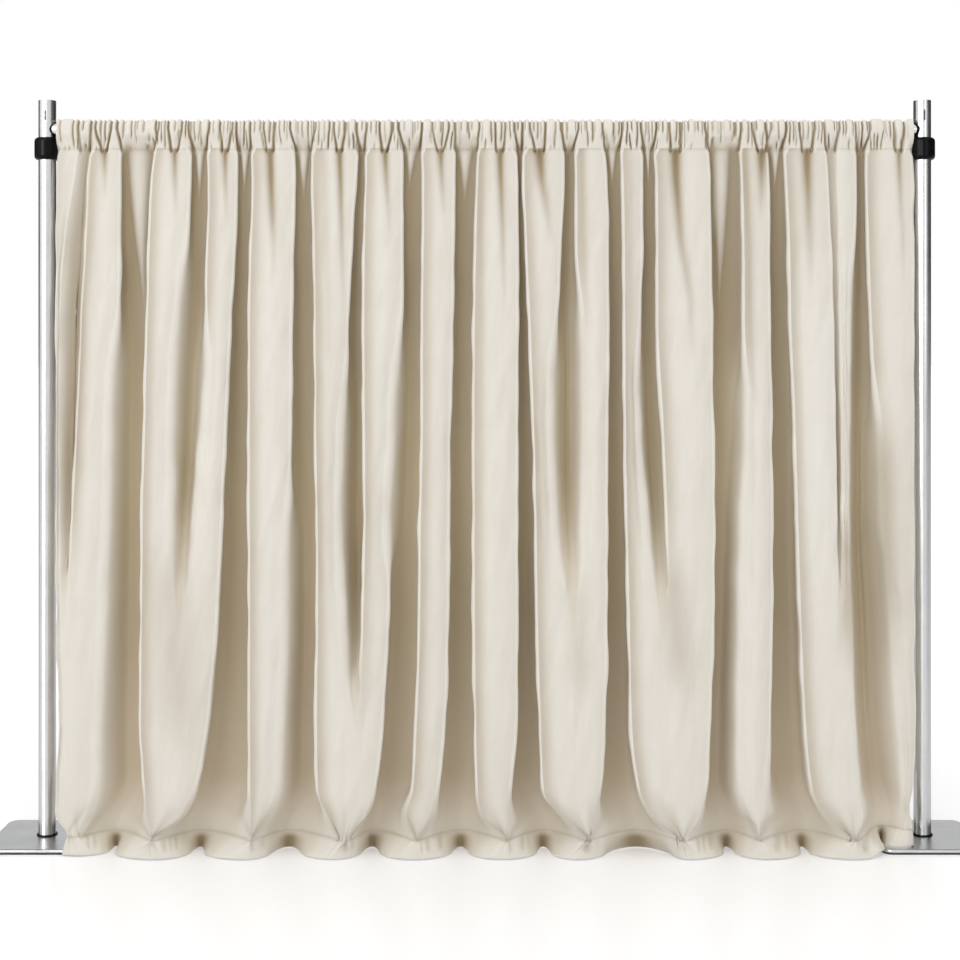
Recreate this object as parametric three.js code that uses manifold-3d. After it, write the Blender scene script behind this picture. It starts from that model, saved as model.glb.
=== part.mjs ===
// A pipe and drape backdrop: two tube uprights on flat steel bases, a telescoping crossbar that rests on a
// clamp collar on each upright, and four gathered drape panels that hang from it by their rod pockets.
// Millimetres, +Z up, +X from the left stand to the right one, -Y towards the front of the drape.
import * as THREE from "three";
import { mergeVertices } from "three/addons/utils/BufferGeometryUtils.js";
import Module from "manifold-3d";

const wasm = await Module();
wasm.setup();

// Driving dimensions.
const standSpan = 3048; // from upright axis to upright axis
const barHeight = 2470; // floor to crossbar axis
const uprightDiameter = 60;
const uprightWall = 2.1;
const uprightLength = 2555;
const barDiameter = 50.8;
const barWall = 2;
const baseSide = 356;
const baseThickness = 12;
const matThickness = 4.5;

// Clearances.
const seatGap = 0.3; // between a piece and the one that it rests on or is pressed into
const slideGap = 0.35; // round a tube that slides
const overrun = 2; // how far a cut runs past the face that it opens

// Base.
const baseCornerRadius = 34;
const baseEdgeRadius = 5;
const matInset = 1.5;
const footRingRadius = 35.5;
const footRingHeight = 5;
const footRingRounding = 2.5;
const spigotHeight = 160;
const spigotWall = 5;
const spigotFloor = 14;
const spigotLead = 4; // chamfer that guides the upright on
const screwRadius = 6;
const screwHeadRadius = 12;
const screwHeadRim = 1;
const screwHeadDepth = 7;
const screwLength = 25;
const screwSocketRadius = 4.6;
const screwSocketDepth = 4;

// Upright slots, which take the hooks of further crossbars.
const slotWidth = 6.5;
const slotHeight = 38;
const slotBelowTop = 53; // from the upright's top to the middle of the slot

// Clamp collar.
const collarRadius = 43.6;
const collarHeight = 78;
const collarRounding = 13;
const recessTop = 22; // solid ring left above the bush
const recessBottom = 12;
const bushWall = 2.4;
const bushSlit = 3;
const bossRadius = 10;
const bossReach = 47; // from the upright's axis to the boss face
const clampRadius = 4;
const clampShoeRadius = 4.7;
const clampShoeThickness = 1.8;
const clampStudInKnob = 11;
const knobGap = 2;
const knobHubRadius = 9;
const knobHubLength = 4;
const knobRadius = 16;
const knobLobeDepth = 1.5;
const knobLobes = 5;
const knobThickness = 13;
const knobRounding = 2.5;

// Crossbar end fitting: a coped rim, a plug inside the tube and a tongue that drops into the collar.
const rimRadius = 27;
const rimThickness = 3;
const plugLength = 28;
const tongueThickness = 4.8;
const tongueWidth = 16;
const tongueDrop = 18; // below the rim
const tongueLead = 4;
const tubeOverlap = 900; // inner tube inside the outer one as set up here
const tubePlugFlange = 4;
const tubePlugLength = 24;

// Drape.
const clothThickness = 2.4;
const seamHeight = 2400; // floor to the stitching under the rod pocket
const hemHeight = 62;
const drapeHeadGap = 0.8; // between the drape's side edge and the collar
const drapeFloorInset = 30; // the side edges run in this much by the floor
const panelGap = 3;
const seamFoldReach = 24; // fold crests in front of the crossbar axis, at the pocket seam
const seamValleyReach = 5;
const floorFoldReach = 243; // and at the floor
const floorValleyReach = 108;
const seamSwell = 6; // how far a crest rounds out in front of its shoulders
const floorSwell = 35;
const foldSweep = 1.6; // power by which the crests come forward on the way down
const valleySweep = 4;
const headerRipple = 4;
const sharpestTurnShare = 0.35; // limits the cloth's mitre at a tight turn
const pocketSeamDepth = 5; // from the stitching up to where the pocket opens
const hemLiftRun = 40; // the hem climbs onto the base plate over this length
const hemLiftLead = 20; // and is up this far before the plate's edge

// The valleys between the drape's front folds, across its width from left to right. head and floor are their
// middles, headHalf and floorHalf the half widths. A valley with an end fades out at that height share.
const valleyShares = [
  { head: 0.081, floor: 0.074, headHalf: 0.012, floorHalf: 0.0205 },
  { head: 0.158, floor: 0.142, headHalf: 0.011, floorHalf: 0.008, end: 0.38 },
  { head: 0.212, floor: 0.198, headHalf: 0.0105, floorHalf: 0.0235 },
  { head: 0.286, floor: 0.284, headHalf: 0.011, floorHalf: 0.0165 },
  { head: 0.348, floor: 0.348, headHalf: 0.0105, floorHalf: 0.009, end: 0.3 },
  { head: 0.414, floor: 0.398, headHalf: 0.0115, floorHalf: 0.0175 },
  { head: 0.4725, floor: 0.469, headHalf: 0.0105, floorHalf: 0.016 },
  { head: 0.544, floor: 0.5495, headHalf: 0.008, floorHalf: 0.0125 },
  { head: 0.594, floor: 0.596, headHalf: 0.0105, floorHalf: 0.008, end: 0.34 },
  { head: 0.6515, floor: 0.6555, headHalf: 0.009, floorHalf: 0.0155 },
  { head: 0.6895, floor: 0.7035, headHalf: 0.009, floorHalf: 0.008, end: 0.26 },
  { head: 0.784, floor: 0.7755, headHalf: 0.0125, floorHalf: 0.0135 },
  { head: 0.843, floor: 0.8525, headHalf: 0.0105, floorHalf: 0.0185 },
  { head: 0.9365, floor: 0.9595, headHalf: 0.011, floorHalf: 0.0275 },
];
// How far each fold's foot reaches, as a share of floorFoldReach: one more fold than there are valleys.
const foldReachShares = [0.82, 1, 1, 0.97, 1, 1, 0.98, 1, 0.98, 0.98, 1, 1, 0.99, 1, 0.62];
const panelEdgeValleys = [2, 6, 11]; // two panels meet in each of these
const rowShares = [0, 0.026, 0.1, 0.22, 0.38, 0.56, 0.74, 0.88, 0.96, 1]; // heights, of seamHeight
// Columns across a valley, and how deep each lies.
const wallShares = [
  { across: -1, depth: 0 },
  { across: -0.6, depth: 0.86 },
  { across: 0, depth: 1 },
  { across: 0.6, depth: 0.86 },
  { across: 1, depth: 0 },
];
const crestShares = [0.3, 0.7]; // columns across a fold
const fadeShare = 0.12;
const wrapFront = 205; // degrees round the crossbar, from its back, where the pocket's front wall meets it
const wrapBack = -45; // and its back wall
const pocketSteps = 6;

// Facets.
const roundSteps = 30;
const tubeSteps = 36;
const smallSteps = 18;
const cornerSteps = 5; // per quarter turn of a base corner
const roundingSteps = 4; // per quarter turn of a moulding's edge
const slotEndSteps = 4;
const bevelSteps = 2;
const socketSides = 6;
const stepsPerLobe = 6;

// Derived places.
const plateTop = matThickness + baseThickness;
const uprightRadius = uprightDiameter / 2;
const uprightBore = uprightRadius - uprightWall;
const barRadius = barDiameter / 2;
const innerBarRadius = barRadius - barWall - seatGap;
const collarTop = barHeight - rimRadius - seatGap;
const collarBottom = collarTop - collarHeight;
const clampHeight = collarBottom + (recessBottom + collarHeight - recessTop) / 2;
const rimInner = uprightRadius + slideGap;
const rimOuter = rimInner + rimThickness;
const tongueStart = rimOuter - seatGap; // from the upright's axis; the tongue's root runs into the rim
const bushInner = uprightRadius + seatGap;
const bushOuter = bushInner + bushWall;
const recessRadius = bushOuter + seatGap;
const drapeHeadHalf = standSpan / 2 - collarRadius - drapeHeadGap;
const drapeFloorHalf = drapeHeadHalf - drapeFloorInset;
const lastPanelEdge = valleyShares[panelEdgeValleys.at(-1)].head;
const tubeMouth = (2 * lastPanelEdge - 1) * drapeHeadHalf; // x of the outer tube's open end

const finishes = {
  polishedTube: { color: 0xdcdde0, roughness: 0.16, metalness: 1 },
  brushedSteel: { color: 0xb7b8ba, roughness: 0.38, metalness: 0.9 },
  zincSteel: { color: 0xa9abad, roughness: 0.4, metalness: 0.9 },
  blackMoulding: { color: 0x131314, roughness: 0.28, metalness: 0 },
  blackRubber: { color: 0x1b1b1c, roughness: 0.85, metalness: 0 },
  nylon: { color: 0xd9d6cc, roughness: 0.6, metalness: 0 },
  brass: { color: 0xb9964f, roughness: 0.35, metalness: 0.9 },
  ivoryCloth: { color: 0xddd4c3, roughness: 0.75, metalness: 0 },
};

const weld = 1e-3;
const toRadians = Math.PI / 180;

const smooth = (low, high, value) => THREE.MathUtils.smoothstep(value, low, high);
const mix = THREE.MathUtils.lerp;

function solid(geometry) {
  const plain = geometry.index ? geometry.toNonIndexed() : geometry.clone();
  plain.deleteAttribute("normal");
  plain.deleteAttribute("uv");
  const merged = mergeVertices(plain, weld);
  return new wasm.Manifold(
    new wasm.Mesh({
      numProp: 3,
      vertProperties: merged.attributes.position.array,
      triVerts: new Uint32Array(merged.index.array),
    }),
  );
}

function surface(made) {
  const mesh = made.getMesh();
  const geometry = new THREE.BufferGeometry();
  geometry.setAttribute("position", new THREE.BufferAttribute(Float32Array.from(mesh.vertProperties), 3));
  geometry.setIndex(new THREE.BufferAttribute(Uint32Array.from(mesh.triVerts), 1));
  geometry.computeVertexNormals();
  return geometry;
}

const join = (...geometries) => surface(geometries.map(solid).reduce((all, next) => all.add(next)));
const cut = (geometry, ...tools) =>
  surface(tools.map(solid).reduce((left, tool) => left.subtract(tool), solid(geometry)));
const common = (a, b) => surface(solid(a).intersect(solid(b)));

// A profile of [radius, height] points, counter-clockwise, turned round the Z axis.
function turned(profile, steps = roundSteps) {
  const points = profile.map(([radius, height]) => new THREE.Vector2(radius, height));
  points.push(points[0].clone());
  return new THREE.LatheGeometry(points, steps).rotateX(Math.PI / 2);
}

// A round bar on the Z axis, from low to high.
function rod(radius, low, high, steps = roundSteps) {
  const bar = new THREE.CylinderGeometry(radius, radius, high - low, steps);
  return bar.rotateX(Math.PI / 2).translate(0, 0, (low + high) / 2);
}

function block(x, y, z) {
  const size = [x, y, z].map(([low, high]) => high - low);
  const middle = [x, y, z].map(([low, high]) => (low + high) / 2);
  return new THREE.BoxGeometry(...size).translate(...middle);
}

function roundedSquare(side, radius, steps) {
  const half = side / 2;
  const run = half - radius;
  const outline = new THREE.Shape();
  outline.absarc(run, -run, radius, -Math.PI / 2, 0);
  outline.absarc(run, run, radius, 0, Math.PI / 2);
  outline.absarc(-run, run, radius, Math.PI / 2, Math.PI);
  outline.absarc(-run, -run, radius, Math.PI, 1.5 * Math.PI);
  return new THREE.Shape(outline.getPoints(steps));
}

function arc(radius, middle, from, to, steps) {
  return Array.from({ length: steps + 1 }, (_, i) => {
    const angle = mix(from, to, i / steps) * toRadians;
    return [middle[0] + radius * Math.cos(angle), middle[1] + radius * Math.sin(angle)];
  });
}

const backdrop = new THREE.Group();

function addPart(name, geometry, finish, parent = backdrop) {
  const mesh = new THREE.Mesh(geometry, new THREE.MeshStandardMaterial(finishes[finish]));
  mesh.name = name;
  parent.add(mesh);
  return mesh;
}

function basePlate() {
  const flatSide = baseSide - 2 * baseEdgeRadius;
  const outline = roundedSquare(flatSide, baseCornerRadius - baseEdgeRadius, cornerSteps);
  const plate = new THREE.ExtrudeGeometry(outline, {
    depth: baseThickness - 2 * baseEdgeRadius,
    bevelThickness: baseEdgeRadius,
    bevelSize: baseEdgeRadius,
    bevelSegments: bevelSteps,
  }).translate(0, 0, matThickness + baseEdgeRadius);
  const shank = rod(screwRadius + seatGap, matThickness - overrun, plateTop + overrun, smallSteps);
  const sink = turned(
    [
      [0, -overrun],
      [screwHeadRadius + seatGap, -overrun],
      [screwHeadRadius + seatGap, screwHeadRim + seatGap],
      [screwRadius + seatGap, screwHeadDepth + seatGap],
      [0, screwHeadDepth + seatGap],
    ],
    smallSteps,
  ).translate(0, 0, matThickness);
  return cut(plate, shank, sink);
}

function baseMat() {
  const outline = roundedSquare(baseSide - 2 * matInset, baseCornerRadius - matInset, cornerSteps);
  const mat = new THREE.ExtrudeGeometry(outline, { depth: matThickness, bevelEnabled: false });
  const screwAccess = screwHeadRadius + matInset;
  return cut(mat, rod(screwAccess, -overrun, matThickness + overrun, smallSteps));
}

function footRing() {
  const inner = uprightRadius + seatGap;
  const rounding = arc(
    footRingRounding,
    [footRingRadius - footRingRounding, footRingHeight - footRingRounding],
    0,
    90,
    roundingSteps,
  );
  return turned([[inner, 0], [footRingRadius, 0], ...rounding, [inner, footRingHeight]]);
}

function spigot() {
  const outer = uprightBore - seatGap;
  const inner = outer - spigotWall;
  return turned([
    [screwRadius + seatGap, 0],
    [outer, 0],
    [outer, spigotHeight - spigotLead],
    [outer - spigotLead / 2, spigotHeight],
    [inner, spigotHeight],
    [inner, spigotFloor],
    [screwRadius + seatGap, spigotFloor],
  ]);
}

function spigotScrew() {
  const body = turned(
    [
      [0, 0],
      [screwHeadRadius, 0],
      [screwHeadRadius, screwHeadRim],
      [screwRadius, screwHeadDepth],
      [screwRadius, screwLength],
      [0, screwLength],
    ],
    smallSteps,
  );
  const socket = rod(screwSocketRadius, -overrun, screwSocketDepth, socketSides);
  return cut(body, socket);
}

function upright() {
  const tube = turned(
    [
      [uprightBore, 0],
      [uprightRadius, 0],
      [uprightRadius, uprightLength],
      [uprightBore, uprightLength],
    ],
    tubeSteps,
  );
  const end = (slotHeight - slotWidth) / 2;
  const outline = new THREE.Shape();
  outline.absarc(0, end, slotWidth / 2, 0, Math.PI);
  outline.absarc(0, -end, slotWidth / 2, Math.PI, 2 * Math.PI);
  const reach = uprightDiameter + 2 * overrun;
  const slots = new THREE.ExtrudeGeometry(new THREE.Shape(outline.getPoints(slotEndSteps)), {
    depth: reach,
    bevelEnabled: false,
  })
    .translate(0, 0, -reach / 2)
    .rotateX(Math.PI / 2);
  const across = slots.clone().rotateZ(Math.PI / 2);
  const place = uprightLength - slotBelowTop;
  return cut(tube, slots.translate(0, 0, place), across.translate(0, 0, place));
}

// Built with the upright on the Z axis, its bottom at zero, the tongue's slot towards +X, the boss to +Y.
function collar() {
  const bore = uprightRadius + slideGap;
  const edge = collarRadius - collarRounding;
  const body = turned([
    [bore, 0],
    ...arc(collarRounding, [edge, collarRounding], -90, 0, roundingSteps),
    ...arc(collarRounding, [edge, collarHeight - collarRounding], 0, 90, roundingSteps),
    [bore, collarHeight],
    [bore, collarHeight - recessTop],
    [recessRadius, collarHeight - recessTop],
    [recessRadius, recessBottom],
    [bore, recessBottom],
  ]);
  const middle = clampHeight - collarBottom;
  const toBack = (shape) => shape.rotateX(-Math.PI / 2).translate(0, 0, middle);
  const boss = toBack(rod(bossRadius, recessRadius + bushWall, bossReach, smallSteps));
  const thread = toBack(rod(clampRadius + seatGap, uprightRadius, bossReach + overrun, smallSteps));
  const slotHalf = tongueWidth / 2 + seatGap;
  const slot = block(
    [tongueStart - seatGap, tongueStart + tongueThickness + seatGap],
    [-slotHalf, slotHalf],
    [collarHeight - tongueDrop - seatGap, collarHeight + overrun],
  );
  return cut(join(body, boss), thread, slot);
}

function collarBush() {
  const length = collarHeight - recessTop - recessBottom - 2 * seatGap;
  const ring = turned([
    [bushInner, 0],
    [bushOuter, 0],
    [bushOuter, length],
    [bushInner, length],
  ]);
  const window = rod(clampShoeRadius + seatGap, bushInner - overrun, bushOuter + overrun, smallSteps)
    .rotateX(-Math.PI / 2)
    .translate(0, 0, length / 2);
  const slit = block(
    [-bushOuter - overrun, -bushInner + overrun],
    [-bushSlit / 2, bushSlit / 2],
    [-overrun, length + overrun],
  );
  return cut(ring, window, slit);
}

// The clamp pieces lie along Z here and are turned to the back of the collar when placed.
const clampShoe = () => rod(clampShoeRadius, bushInner, bushInner + clampShoeThickness, smallSteps);

function clampScrew() {
  const start = bushInner + clampShoeThickness + seatGap;
  return rod(clampRadius, start, bossReach + knobGap + clampStudInKnob, smallSteps);
}

function clampKnob() {
  const steps = stepsPerLobe * knobLobes;
  const points = Array.from({ length: steps }, (_, i) => {
    const angle = (2 * Math.PI * i) / steps;
    const radius = knobRadius - knobRounding + knobLobeDepth * Math.cos(knobLobes * angle);
    return new THREE.Vector2(radius * Math.cos(angle), radius * Math.sin(angle));
  });
  const start = bossReach + knobGap;
  const head = new THREE.ExtrudeGeometry(new THREE.Shape(points), {
    depth: knobThickness - 2 * knobRounding,
    bevelThickness: knobRounding,
    bevelSize: knobRounding,
    bevelSegments: bevelSteps,
  }).translate(0, 0, start + knobHubLength + knobRounding);
  const hub = rod(knobHubRadius, start, start + knobHubLength + knobThickness / 2, smallSteps);
  const bore = rod(clampRadius + seatGap, start - overrun, start + clampStudInKnob + seatGap, smallSteps);
  return cut(join(head, hub), bore);
}

// Built with the upright on the Z axis and the crossbar along +X.
function endFitting(tubeRadius) {
  const along = (radius, low, high) => rod(radius, low, high).rotateY(Math.PI / 2);
  const reach = rimRadius + overrun;
  const rim = common(
    cut(along(rimRadius, 0, rimOuter + overrun), rod(rimInner, -reach, reach, tubeSteps)),
    rod(rimOuter, -reach, reach, tubeSteps),
  );
  const plug = cut(
    along(tubeRadius - barWall - seatGap, 0, rimOuter + plugLength),
    rod(rimOuter - seatGap, -reach, reach, tubeSteps),
  );
  const half = tongueWidth / 2;
  const bottom = -rimRadius - tongueDrop;
  const outline = new THREE.Shape();
  outline.moveTo(-half, -barRadius / 2);
  outline.lineTo(-half, bottom + tongueLead);
  outline.lineTo(-half + tongueLead, bottom);
  outline.lineTo(half - tongueLead, bottom);
  outline.lineTo(half, bottom + tongueLead);
  outline.lineTo(half, -barRadius / 2);
  const tongue = new THREE.ExtrudeGeometry(outline, { depth: tongueThickness, bevelEnabled: false })
    .rotateX(Math.PI / 2)
    .rotateZ(Math.PI / 2)
    .translate(tongueStart, 0, 0);
  return join(rim, plug, tongue);
}

// A tube along +X from the upright's axis, coped round the upright and notched for the tongue.
function copedTube(radius, length) {
  const inner = radius - barWall;
  const tube = turned(
    [
      [inner, 0],
      [radius, 0],
      [radius, length],
      [inner, length],
    ],
    tubeSteps,
  ).rotateY(Math.PI / 2);
  const reach = radius + overrun;
  const half = tongueWidth / 2 + seatGap;
  const notch = block([0, rimOuter + tongueThickness], [-half, half], [-reach, 0]);
  return cut(tube, rod(rimOuter + seatGap, -reach, reach, tubeSteps), notch);
}

function innerTubePlug() {
  const bore = innerBarRadius - barWall - seatGap;
  return turned(
    [
      [0, -tubePlugLength],
      [bore, -tubePlugLength],
      [bore, 0],
      [innerBarRadius, 0],
      [innerBarRadius, tubePlugFlange],
      [0, tubePlugFlange],
    ],
    roundSteps,
  );
}

// A column of the drape says, for a height share, where it lies across the width, how deep in a valley it is
// and how far it swells towards its fold's crest, and it holds its fold's reach at the floor.
function valleyColumns(index, from = -1, to = 1) {
  const valley = valleyShares[index];
  const open = (height) => (valley.end ? smooth(valley.end, valley.end + fadeShare, height) : 1);
  const walls = valley.end ? wallShares.filter((wall) => Number.isInteger(wall.across)) : wallShares;
  return walls
    .filter((wall) => wall.across >= from && wall.across <= to)
    .map((wall) => ({
      across: (height) =>
        mix(valley.floor, valley.head, height) +
        wall.across * mix(valley.floorHalf, valley.headHalf, height),
      depth: (height) => wall.depth * open(height),
      swell: (height) => 1 - open(height),
      reach: foldReachShares[wall.across < 0 ? index : index + 1],
    }));
}

function crestColumns(index) {
  const edge = (valley, side, height) =>
    mix(valley.floor, valley.head, height) + side * mix(valley.floorHalf, valley.headHalf, height);
  const left = (height) => (index === 0 ? 0 : edge(valleyShares[index - 1], 1, height));
  const right = (height) =>
    index === valleyShares.length ? 1 : edge(valleyShares[index], -1, height);
  return crestShares.map((share) => ({
    across: (height) => mix(left(height), right(height), share),
    depth: () => 0,
    swell: () => 4 * share * (1 - share),
    reach: foldReachShares[index],
  }));
}

const sideEdge = (across, fold) => ({
  across: () => across,
  depth: () => 0,
  swell: () => 1,
  reach: foldReachShares[fold],
});

// The front face of the cloth at a column and a height share of the seam.
function frontPoint(column, height, shift) {
  const down = (1 - height) ** foldSweep;
  const crest = mix(seamFoldReach, floorFoldReach * column.reach, down);
  const shoulder = crest - mix(seamSwell, floorSwell, down) * (1 - column.swell(height));
  const valley = mix(seamValleyReach, floorValleyReach, (1 - height) ** valleySweep);
  const half = mix(drapeFloorHalf, drapeHeadHalf, height);
  const x = (2 * column.across(height) - 1) * half + shift;
  return new THREE.Vector3(x, -mix(shoulder, valley, column.depth(height)), height * seamHeight);
}

// The hem runs onto the right base plate near the drape's right edge.
function hemLift(x) {
  const plateEdge = (standSpan - baseSide) / 2 - hemLiftLead;
  return (plateTop + seatGap) * smooth(plateEdge - hemLiftRun, plateEdge, x);
}

// Each row of front points gets its back points one cloth thickness behind, mitred where the cloth turns.
function thicken(row) {
  const squareTo = (a, b) => new THREE.Vector3(a.y - b.y, b.x - a.x, 0).normalize();
  return row.map((point, i) => {
    const isEnd = i === 0 || i === row.length - 1;
    if (isEnd) return point.clone().add(new THREE.Vector3(0, clothThickness, 0));
    const before = squareTo(row[i - 1], point);
    const after = squareTo(point, row[i + 1]);
    const mitre = before.clone().add(after).normalize();
    const turn = Math.max(mitre.dot(before), sharpestTurnShare);
    return point.clone().addScaledVector(mitre, clothThickness / turn);
  });
}

function drapePanel(index, tubeRadius) {
  const columns = [];
  const firstFold = index === 0 ? 0 : panelEdgeValleys[index - 1] + 1;
  const lastFold = index === panelEdgeValleys.length ? valleyShares.length : panelEdgeValleys[index];
  if (index === 0) columns.push(sideEdge(0, firstFold));
  else columns.push(...valleyColumns(firstFold - 1, 0, 1));
  for (let fold = firstFold; fold <= lastFold; fold += 1) {
    columns.push(...crestColumns(fold));
    if (fold < lastFold) columns.push(...valleyColumns(fold));
  }
  if (lastFold === valleyShares.length) columns.push(sideEdge(1, lastFold));
  else columns.push(...valleyColumns(lastFold, -1, 0));

  const lastColumn = columns.length - 1;
  const shiftOf = (i) => {
    if (i === 0 && index > 0) return panelGap / 2;
    if (i === lastColumn && index < panelEdgeValleys.length) return -panelGap / 2;
    return 0;
  };
  const front = rowShares.map((height) =>
    columns.map((column, i) => frontPoint(column, height, shiftOf(i))),
  );
  front[0].forEach((point) => (point.z = hemLift(point.x)));
  front[1].forEach((point, i) => (point.z = hemHeight + front[0][i].z));
  const back = front.map(thicken);

  // The rod pocket, from its front wall over the crossbar to its back wall.
  const halfStep = ((wrapFront - wrapBack) / pocketSteps / 2) * toRadians;
  const pocketInner = (tubeRadius + seatGap) / Math.cos(halfStep);
  const around = (radius) => arc(radius, [0, barHeight], wrapFront, wrapBack, pocketSteps);
  const seamRow = front.length - 1;
  const rings = columns.map((column, i) => {
    const { x, y } = front[seamRow][i];
    const ripple = headerRipple * column.swell(1) * (1 - column.depth(1));
    const at = ([along, up]) => new THREE.Vector3(x, along, up);
    return {
      outer: [
        ...front.map((row) => row[i]),
        ...around(pocketInner + clothThickness + ripple).map(at),
        ...back.map((row) => row[i]).reverse(),
      ],
      inner: [
        new THREE.Vector3(x, y + clothThickness / 2, seamHeight + pocketSeamDepth),
        ...around(pocketInner).map(at),
      ],
    };
  });
  return ringSolid(rings, front.length);
}

// Closes a row of ring pairs, one outer ring and the pocket's inner ring at each column, into one solid.
function ringSolid(rings, rows) {
  const outerCount = rings[0].outer.length;
  const innerCount = rings[0].inner.length;
  const perColumn = outerCount + innerCount;
  const positions = rings.flatMap(({ outer, inner }) => [...outer, ...inner].flatMap((p) => p.toArray()));
  const faces = [];
  const quad = (a, b, c, d) => faces.push(a, b, c, a, c, d);
  // Both sides of the cloth are split along one diagonal, so that a twisted stretch keeps its thickness.
  const lastOuter = rows + pocketSteps;
  for (let i = 0; i + 1 < rings.length; i += 1) {
    const here = i * perColumn;
    const next = here + perColumn;
    for (let k = 0; k < outerCount; k += 1) {
      const up = (k + 1) % outerCount;
      if (k > lastOuter) quad(next + k, next + up, here + up, here + k);
      else quad(here + k, next + k, next + up, here + up);
    }
    for (let k = 0; k < innerCount; k += 1) {
      const up = (k + 1) % innerCount;
      const inside = here + outerCount;
      const insideNext = next + outerCount;
      quad(insideNext + up, insideNext + k, inside + k, inside + up);
    }
  }
  const capFaces = [];
  const capQuad = (a, b, c, d) => capFaces.push([a, b, c], [a, c, d]);
  const backOf = (row) => outerCount - 1 - row;
  for (let row = 0; row + 1 < rows; row += 1) capQuad(row, row + 1, backOf(row + 1), backOf(row));
  const seam = rows - 1;
  const pocketSeam = outerCount;
  for (let k = 0; k < pocketSteps; k += 1) {
    capQuad(rows + k, rows + k + 1, pocketSeam + k + 2, pocketSeam + k + 1);
  }
  const lastInner = pocketSeam + innerCount - 1;
  capFaces.push(
    [seam, rows, pocketSeam + 1],
    [seam, pocketSeam + 1, pocketSeam],
    [seam, pocketSeam, backOf(seam)],
    [backOf(seam), pocketSeam, lastInner],
    [backOf(seam), lastInner, lastOuter],
  );
  const far = (rings.length - 1) * perColumn;
  capFaces.forEach(([a, b, c]) => {
    faces.push(a, b, c);
    faces.push(far + c, far + b, far + a);
  });
  const geometry = new THREE.BufferGeometry();
  geometry.setAttribute("position", new THREE.Float32BufferAttribute(positions, 3));
  geometry.setIndex(faces);
  geometry.computeVertexNormals();
  return geometry;
}

function addStand(side, x) {
  const stand = new THREE.Group();
  stand.position.x = x;
  backdrop.add(stand);
  addPart("base_mat_" + side, baseMat(), "blackRubber", stand);
  addPart("base_plate_" + side, basePlate(), "brushedSteel", stand);
  addPart("foot_ring_" + side, footRing(), "blackMoulding", stand).position.z = plateTop;
  addPart("spigot_" + side, spigot(), "zincSteel", stand).position.z = plateTop;
  addPart("spigot_screw_" + side, spigotScrew(), "zincSteel", stand).position.z = matThickness;
  addPart("upright_" + side, upright(), "polishedTube", stand).position.z = plateTop;
}

// The collar and what clamps it, and the crossbar's end that rests on it. turn faces them along the crossbar.
function addBarEnd(side, x, turn, tubeRadius) {
  const end = new THREE.Group();
  end.position.x = x;
  backdrop.add(end);
  const collarMesh = addPart("collar_" + side, collar(), "blackMoulding", end);
  collarMesh.position.z = collarBottom;
  if (turn) collarMesh.geometry.scale(-1, 1, 1);
  if (turn) flipFaces(collarMesh.geometry);
  addPart("collar_bush_" + side, collarBush(), "nylon", end).position.z =
    collarBottom + recessBottom + seatGap;
  const clampPieces = [
    ["clamp_shoe_" + side, clampShoe(), "brass"],
    ["clamp_screw_" + side, clampScrew(), "zincSteel"],
    ["clamp_knob_" + side, clampKnob(), "blackMoulding"],
  ];
  clampPieces.forEach(([name, geometry, finish]) => {
    const mesh = addPart(name, geometry, finish, end);
    mesh.rotation.x = -Math.PI / 2;
    mesh.position.z = clampHeight;
  });
  const fitting = addPart("end_fitting_" + side, endFitting(tubeRadius), "blackMoulding", end);
  fitting.position.z = barHeight;
  fitting.rotation.z = turn;
}

function flipFaces(geometry) {
  const index = geometry.index.array;
  for (let i = 0; i < index.length; i += 3) [index[i + 1], index[i + 2]] = [index[i + 2], index[i + 1]];
}

function addCrossbar() {
  const half = standSpan / 2;
  const outer = addPart("crossbar_outer_tube", copedTube(barRadius, tubeMouth + half), "polishedTube");
  outer.position.set(-half, 0, barHeight);
  const innerEnd = tubeMouth - tubeOverlap;
  const inner = addPart("crossbar_inner_tube", copedTube(innerBarRadius, half - innerEnd), "polishedTube");
  inner.position.set(half, 0, barHeight);
  inner.rotation.z = Math.PI;
  const plug = addPart("crossbar_inner_plug", innerTubePlug(), "blackMoulding");
  plug.position.set(innerEnd, 0, barHeight);
  plug.rotation.y = -Math.PI / 2;
}

addStand("left", -standSpan / 2);
addStand("right", standSpan / 2);
addBarEnd("left", -standSpan / 2, 0, barRadius);
addBarEnd("right", standSpan / 2, Math.PI, innerBarRadius);
addCrossbar();
for (let panel = 0; panel <= panelEdgeValleys.length; panel += 1) {
  const tubeRadius = panel < panelEdgeValleys.length ? barRadius : innerBarRadius;
  addPart("drape_panel_" + (panel + 1), drapePanel(panel, tubeRadius), "ivoryCloth");
}

// The part's frame stands on the floor, in the middle of what the backdrop covers there.
const covered = new THREE.Box3().setFromObject(backdrop);
backdrop.position.y = -(covered.min.y + covered.max.y) / 2;

export default backdrop;
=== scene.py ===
# Looks of a pipe and drape backdrop: gathered ivory cloth on a telescoping bar between two polished uprights.
import math

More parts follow.
